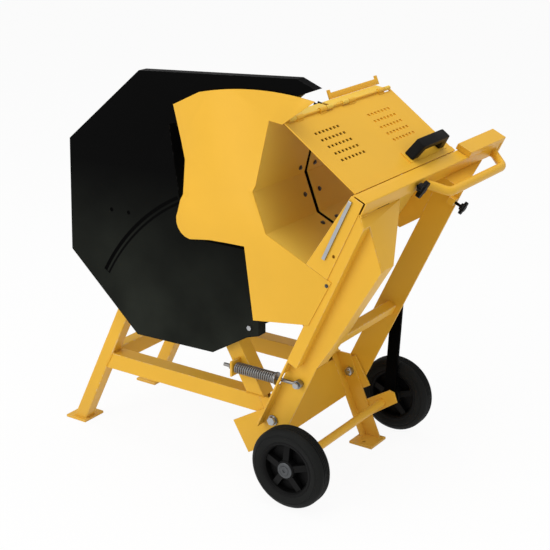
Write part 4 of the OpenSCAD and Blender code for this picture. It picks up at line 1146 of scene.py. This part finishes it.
class LOGSAW_OT_top_beam(bpy.types.Operator):
    """Makes the top beam and the length stop that slides in it"""
    bl_idname = "logsaw.top_beam"
    bl_label = "Top beam"

    def beam(self, corner):
        """A drawn square tube along Y, with rounded corners inside and out."""
        steps = 6
        u, w = BEAM_RIGHT - BEAM / 2, BEAM_LOW + BEAM / 2
        bm = bmesh.new()
        loops = []
        for inset, bend in ((0.0, corner), (TUBE_WALL, max(INNER_BEND, corner - TUBE_WALL))):
            reach = BEAM / 2 - inset - bend
            ring = []
            for k, (a, b) in enumerate(((1, 1), (-1, 1), (-1, -1), (1, -1))):
                for i in range(steps + 1):
                    turn = math.radians(90 * (k + i / steps))
                    p, q = a * reach + bend * math.cos(turn), b * reach + bend * math.sin(turn)
                    ring.append((u + p, w + q))
            for y in BEAM_ENDS:
                loops.append([bm.verts.new(on_cradle(p, y, q)) for p, q in ring])
        for a, b in ((0, 1), (1, 3), (3, 2), (2, 0)):
            for i in range(len(loops[a])):
                j = (i + 1) % len(loops[a])
                bm.faces.new((loops[a][i], loops[a][j], loops[b][j], loops[b][i]))
        return outwards(bm)

    def execute(self, context):
        s = sizes()
        bm = self.beam(s.beam_corner / MM)
        finished(bm, "top_beam_tube", "cradle", "yellow_paint", ["top_beam"], crease=40.0)
        rounded(
            "length_stop_bar", "stop", "yellow_paint", ["length_stop"], s.sheet_edge,
            shortest=0.03, split=False,
        )
        return {"FINISHED"}


class LOGSAW_OT_push_handle(bpy.types.Operator):
    """Bends the push handle from one tube"""
    bl_idname = "logsaw.push_handle"
    bl_label = "Push handle"

    def execute(self, context):
        s = sizes()
        corners = [on_cradle(u, y, HANDLE_UP) for u, y in HANDLE]
        first = corners[0] + (corners[0] - corners[1]).normalized() * s.handle_tube
        last = corners[3] + (corners[3] - corners[2]).normalized() * s.handle_tube
        path = filleted([first, corners[1], corners[2], last], s.handle_bend, steps=14)
        bm = tube(bmesh.new(), path, s.handle_tube / 2, sides=28)
        face = on_cradle(BEAM_RIGHT - HANDLE_SINK, 0, BEAM_LOW)
        cut = bmesh.ops.bisect_plane(
            bm, geom=bm.verts[:] + bm.edges[:] + bm.faces[:], plane_co=face, plane_no=cradle_way(1, 0),
            clear_inner=True,
        )
        rim = [e for e in cut["geom_cut"] if isinstance(e, bmesh.types.BMEdge)]
        bmesh.ops.holes_fill(bm, edges=rim, sides=0)
        finished(outwards(bm), "push_handle_tube", "cradle", "yellow_paint", ["push_handle"])
        return {"FINISHED"}


class LOGSAW_OT_lid(bpy.types.Operator):
    """Finishes the slotted lid, puts a black sheet of painted shade behind its near slots and a yellow sheet
    behind its far ones, and makes its moulded bow handle
    """
    bl_idname = "logsaw.lid"
    bl_label = "Lid"

    def execute(self, context):
        s = sizes()
        dress({"lid": "yellow_paint"})
        for name, (coat, across) in SLOT_SHEETS.items():
            back = [on_lid(a, y, up) for a in SLOT_BACK[0] for y in across for up in SLOT_BACK[1]]
            finished(outwards(block(bmesh.new(), back)), name, "lid", coat)
        rounded(
            "lid_bow_handle", "lid", "black_plastic", ["lid_handle"], s.moulded_edge,
            shortest=0.008, segments=3,
        )
        return {"FINISHED"}


class LOGSAW_OT_knobs(bpy.types.Operator):
    """Makes the two moulded wing knobs"""
    bl_idname = "logsaw.knobs"
    bl_label = "Wing knobs"

    def execute(self, context):
        for node in ("beam_knob", "arm_knob"):
            rounded(node + "_wing", node, "black_plastic", [node], sizes().wing_edge, shortest=0.003)
        return {"FINISHED"}


class LOGSAW_OT_return_spring(bpy.types.Operator):
    """Winds the return spring on its guide rod"""
    bl_idname = "logsaw.return_spring"
    bl_label = "Return spring"

    def execute(self, context):
        s = sizes()
        start = at(ROD[0] - COLLAR, ROD[1], ROD[2])
        length = SPRING_SPAN * MM
        radius = s.coil / 2
        turns = s.turns + 2
        # Closed end coils lie one wire apart, the rest share what is left
        steps = 20
        path = []
        free = length - s.wire - 2 * s.wire
        for i in range(turns * steps + 1):
            t = i / steps
            if t < 1:
                run = t * s.wire
            elif t > turns - 1:
                run = length - s.wire - (turns - t) * s.wire
            else:
                run = s.wire + (t - 1) / (turns - 2) * free
            a = 2 * math.pi * t
            path.append(start + Vector((
                -run - s.wire / 2, radius * math.cos(a), radius * math.sin(a)
            )))
        bm = tube(bmesh.new(), path, s.wire / 2, sides=10)
        spring = finished(
            outwards(bm), "return_spring_wire", "spring_rod", "spring_steel", ["spring"], crease=40.0
        )
        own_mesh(spring)
        dress({"guide_rod": "spring_steel", "spring_bolt": "zinc_steel"})
        return {"FINISHED"}


class LOGSAW_OT_wheels(bpy.types.Operator):
    """Makes the moulded tyres, rims and hub caps of the two wheels"""
    bl_idname = "logsaw.wheels"
    bl_label = "Wheels"

    def tyre(self, mirror):
        """A solid tyre with stepped walls and grooves round its tread."""
        r, ri, w = TYRE_R, RIM_R + RIM_FIT, WHEEL_W
        depth = sizes().groove / MM
        wide, narrow = TREAD_HALF
        outline = [
            (ri, 3.0), (ri + 4, 1.2), (ri + 10, 0.4), (ri + 14, 0.4), (ri + 16, 2.0), (ri + 19, 2.2),
            (ri + 20, 1.4), (r - 12, 2.4), (r - 7, 4.6), (r - 3.4, 8.0), (r - 1.0, 12.0), (r - 0.2, 15.5),
        ]
        crown = []
        for y in TREAD:
            crown += [(r, y - wide), (r - depth, y - narrow), (r - depth, y + narrow), (r, y + wide)]
        profile = outline + crown + [(p, w - y) for p, y in reversed(outline)]
        bm = lathe(bmesh.new(), [(p, WHEEL_IN + y) for p, y in profile], *AXLE, mirror)
        return outwards(bm)

    def rim(self, mirror):
        """A moulded rim: its band, hub and web, and ribs that run deeper at the hub."""
        r, m = RIM_R, WHEEL_IN + WHEEL_W / 2
        low, high = WHEEL_IN, WHEEL_IN + WHEEL_W
        band = [
            (r, low + 3), (r, high - 3), (r - 3, high - 2.2), (r - 8, high - 3.4), (r - 12, high - 8),
            (r - 15, m + 6), (r - 15, m - 6), (r - 12, low + 8), (r - 8, low + 3.4), (r - 3, low + 2.2),
        ]
        hub = [
            (10.3, low), (24, low), (26.5, low + 2), (29, m - 5), (29, m + 5), (26.5, high - 2), (24, high),
            (10.3, high),
        ]
        web = [(28, m - 3), (r - 14.5, m - 3), (r - 14.5, m + 3), (28, m + 3)]
        bm = bmesh.new()
        for part in (band, hub, web):
            lathe(bm, part, *AXLE, mirror)
        side = -1 if mirror else 1
        for k in range(RIBS):
            a = 2 * math.pi * k / RIBS
            corners = []
            for rad, half in ((26.0, 25.0), (r - 13.0, 19.0)):
                for y in (m - half, m + half):
                    for across in (-RIB_HALF, RIB_HALF):
                        x = AXLE[0] + rad * math.sin(a) + across * math.cos(a)
                        z = AXLE[1] + rad * math.cos(a) - across * math.sin(a)
                        corners.append(at(x, side * y, z))
            block(bm, corners)
        return outwards(bm)

    def cap(self, mirror):
        """A pressed hub cap with a ring and a dished middle."""
        y = WHEEL_IN + WHEEL_W
        outline = [
            (0.6, y), (22, y), (22, y + 1.2), (20.5, y + 2.2), (15.5, y + 3.0), (14.6, y + 2.0),
            (12.8, y + 2.0), (12, y + 3.3), (8, y + 4.0), (4.5, y + 4.0), (4.0, y + 2.4), (0.6, y + 2.4),
        ]
        return outwards(lathe(bmesh.new(), outline, *AXLE, mirror, steps=64))

    def execute(self, context):
        for side, mirror in (("near", True), ("far", False)):
            body = side + "_wheel"
            for bm, part, ending, slot, material in (
                (self.tyre(mirror), "_tyre", "_moulded", "tyre_rubber", None),
                (self.rim(mirror), "_rim", "_moulded", "black_plastic", None),
                (self.cap(mirror), "_cap", "_turned", "zinc_steel", "cap_steel"),
            ):
                node = side + part
                finished(bm, node + ending, body, slot, [node], crease=24.0, material=material)
        dress({"axle": "zinc_steel"})
        return {"FINISHED"}


class LOGSAW_OT_fasteners(bpy.types.Operator):
    """Finishes the big bolts and sets the small screws"""
    bl_idname = "logsaw.fasteners"
    bl_label = "Fasteners"

    def execute(self, context):
        for node in ("pivot_bolts", "cover_bolt"):
            rounded(node + "_head", "frame", "zinc_steel", [node], sizes().bolt_edge, shortest=0.008)
        # Trough screws beside the blade slot, square to each wall
        spots = []
        for a, b, shares in SCREW_WALLS:
            p, q = TROUGH[a], TROUGH[b]
            inward = cradle_way(-(q[1] - p[1]), q[0] - p[0])
            for share in shares:
                u, w = p[0] + share * (q[0] - p[0]), p[1] + share * (q[1] - p[1])
                spots += [(on_cradle(u, y, w), inward) for y in SCREW_ROWS]
        # One screw holds the guard to the arm's turned edge
        guard_spot = (on_cradle(GUARD_SCREW[0], GUARD_Y, GUARD_SCREW[1]), Vector((0, -1, 0)))
        tree = screw_tree(finish("cap_steel"))
        for name, places, (flats, head) in (
            ("trough_screws", spots, TROUGH_HEAD), ("guard_screw", [guard_spot], GUARD_HEAD),
        ):
            values = {"Flats": flats * MM, "Head": head * MM}
            screws = grown(name, tree, point_mesh(name, places), values)
            settle(screws, "cradle", "spring_steel", material="cap_steel")
        return {"FINISHED"}


class LOGSAW_OT_welds(bpy.types.Operator):
    """Lays weld beads where tubes and plates meet"""
    bl_idname = "logsaw.welds"
    bl_label = "Welds"

    def frame_seams(self):
        """Seams of the left legs and posts on the rails, and of the left legs on their foot plates."""
        (foot, lean, leg), (post, tilt, tube_w) = LEG, POST
        low, high = RAIL
        rise, half = math.tan(lean), leg / 2 / math.cos(lean)
        left = [foot + z * rise + half for z in RAIL]
        sole = foot + FOOT_PLATE * rise
        half_post = tube_w / 2 / math.cos(tilt)
        # Each seam's ends: along X, in from the frame's side and up, short of the tubes' corners
        short, shorter = 4, 3
        ends = (
            ((left[0], 0, low + short), (left[1], 0, high - short)),
            ((left[1], short, high), (left[1], leg - short, high)),
            ((post - half_post, 0, high), (post + half_post, 0, high)),
            ((post - half_post, short, high), (post - half_post, tube_w - short, high)),
            ((sole - half, 0, FOOT_PLATE), (sole + half, 0, FOOT_PLATE)),
            ((sole + half, shorter, FOOT_PLATE), (sole + half, leg - shorter, FOOT_PLATE)),
        )
        return [
            [at(x, side * (FRAME_HALF - inward), z) for x, inward, z in seam]
            for side in (-1, 1) for seam in ends
        ]

    def cradle_seams(self):
        """Seams of the beam on the arms, of the crossbar, and round the push handle's feet."""
        seams = [
            [on_cradle(u, ARM_OUT, BEAM_LOW) for u in (ARM_SEAM, BEAM_RIGHT)],
            [on_cradle(BEAM_RIGHT, y, BEAM_LOW) for y in (BEAM_ENDS[0] + END_SHORT, -ARM_OUT)],
        ]
        reach, up = CROSSBAR
        inside = ARM_OUT - ARM_SHEET
        seams += [[on_cradle(u, y, up) for u in reach] for y in (-inside, inside)]
        wide, tall = HANDLE_OVAL
        steps = 24
        for y in (HANDLE[0][1], HANDLE[3][1]):
            turns = [2 * math.pi * k / steps for k in range(steps + 1)]
            seams.append([
                on_cradle(BEAM_RIGHT, y + wide * math.cos(a), HANDLE_UP + tall * math.sin(a)) for a in turns
            ])
        return seams

    def execute(self, context):
        s = sizes()
        values = {"Pitch": s.bead_pitch, "Bead": s.bead_size}
        tree = weld_tree(finish("yellow_paint"))
        for body, seams in (("frame", self.frame_seams()), ("cradle", self.cradle_seams())):
            name = body + "_welds"
            welds = grown(name, tree, seam_mesh(name, seams), values)
            settle(welds, body, "yellow_paint")
        return {"FINISHED"}


STEPS = (
    LOGSAW_OT_stage, LOGSAW_OT_frame_tubes, LOGSAW_OT_frame_plates, LOGSAW_OT_front_cover,
    LOGSAW_OT_blade_hood, LOGSAW_OT_saw_drive, LOGSAW_OT_cradle_arms, LOGSAW_OT_trough, LOGSAW_OT_top_beam,
    LOGSAW_OT_push_handle, LOGSAW_OT_lid, LOGSAW_OT_knobs, LOGSAW_OT_return_spring, LOGSAW_OT_wheels,
    LOGSAW_OT_fasteners, LOGSAW_OT_welds,
)


class LOGSAW_PT_panel(bpy.types.Panel):
    """Lists the saw's pieces, sizes and finishes"""
    bl_idname = "LOGSAW_PT_panel"
    bl_label = "Log saw"
    bl_space_type = "VIEW_3D"
    bl_region_type = "UI"
    bl_category = "Log saw"

    def draw(self, context):
        column = self.layout.column()
        for group in (context.scene.log_saw_sizes, context.scene.log_saw_finishes):
            for key in group.bl_rna.properties.keys():
                if key not in {"rna_type", "name"}:
                    column.prop(group, key)
        for step in STEPS:
            column.operator(step.bl_idname)


CLASSES = (LogSawFinishes, LogSawSizes, *STEPS, LOGSAW_PT_panel)


def register():
    """Makes the classes known, and gives the scene its sizes and finishes."""
    for cls in CLASSES:
        bpy.utils.register_class(cls)
    bpy.types.Scene.log_saw_finishes = bpy.props.PointerProperty(type=LogSawFinishes)
    bpy.types.Scene.log_saw_sizes = bpy.props.PointerProperty(type=LogSawSizes)


def unregister():
    """Takes away what register made."""
    del bpy.types.Scene.log_saw_sizes
    del bpy.types.Scene.log_saw_finishes
    for cls in reversed(CLASSES):
        bpy.utils.unregister_class(cls)


def main():
    """Makes the saw step by step."""
    register()
    for step in STEPS:
        group, name = step.bl_idname.split(".")
        getattr(getattr(bpy.ops, group), name)()
    bpy.context.view_layer.update()


if __name__ == "__main__":
    main()
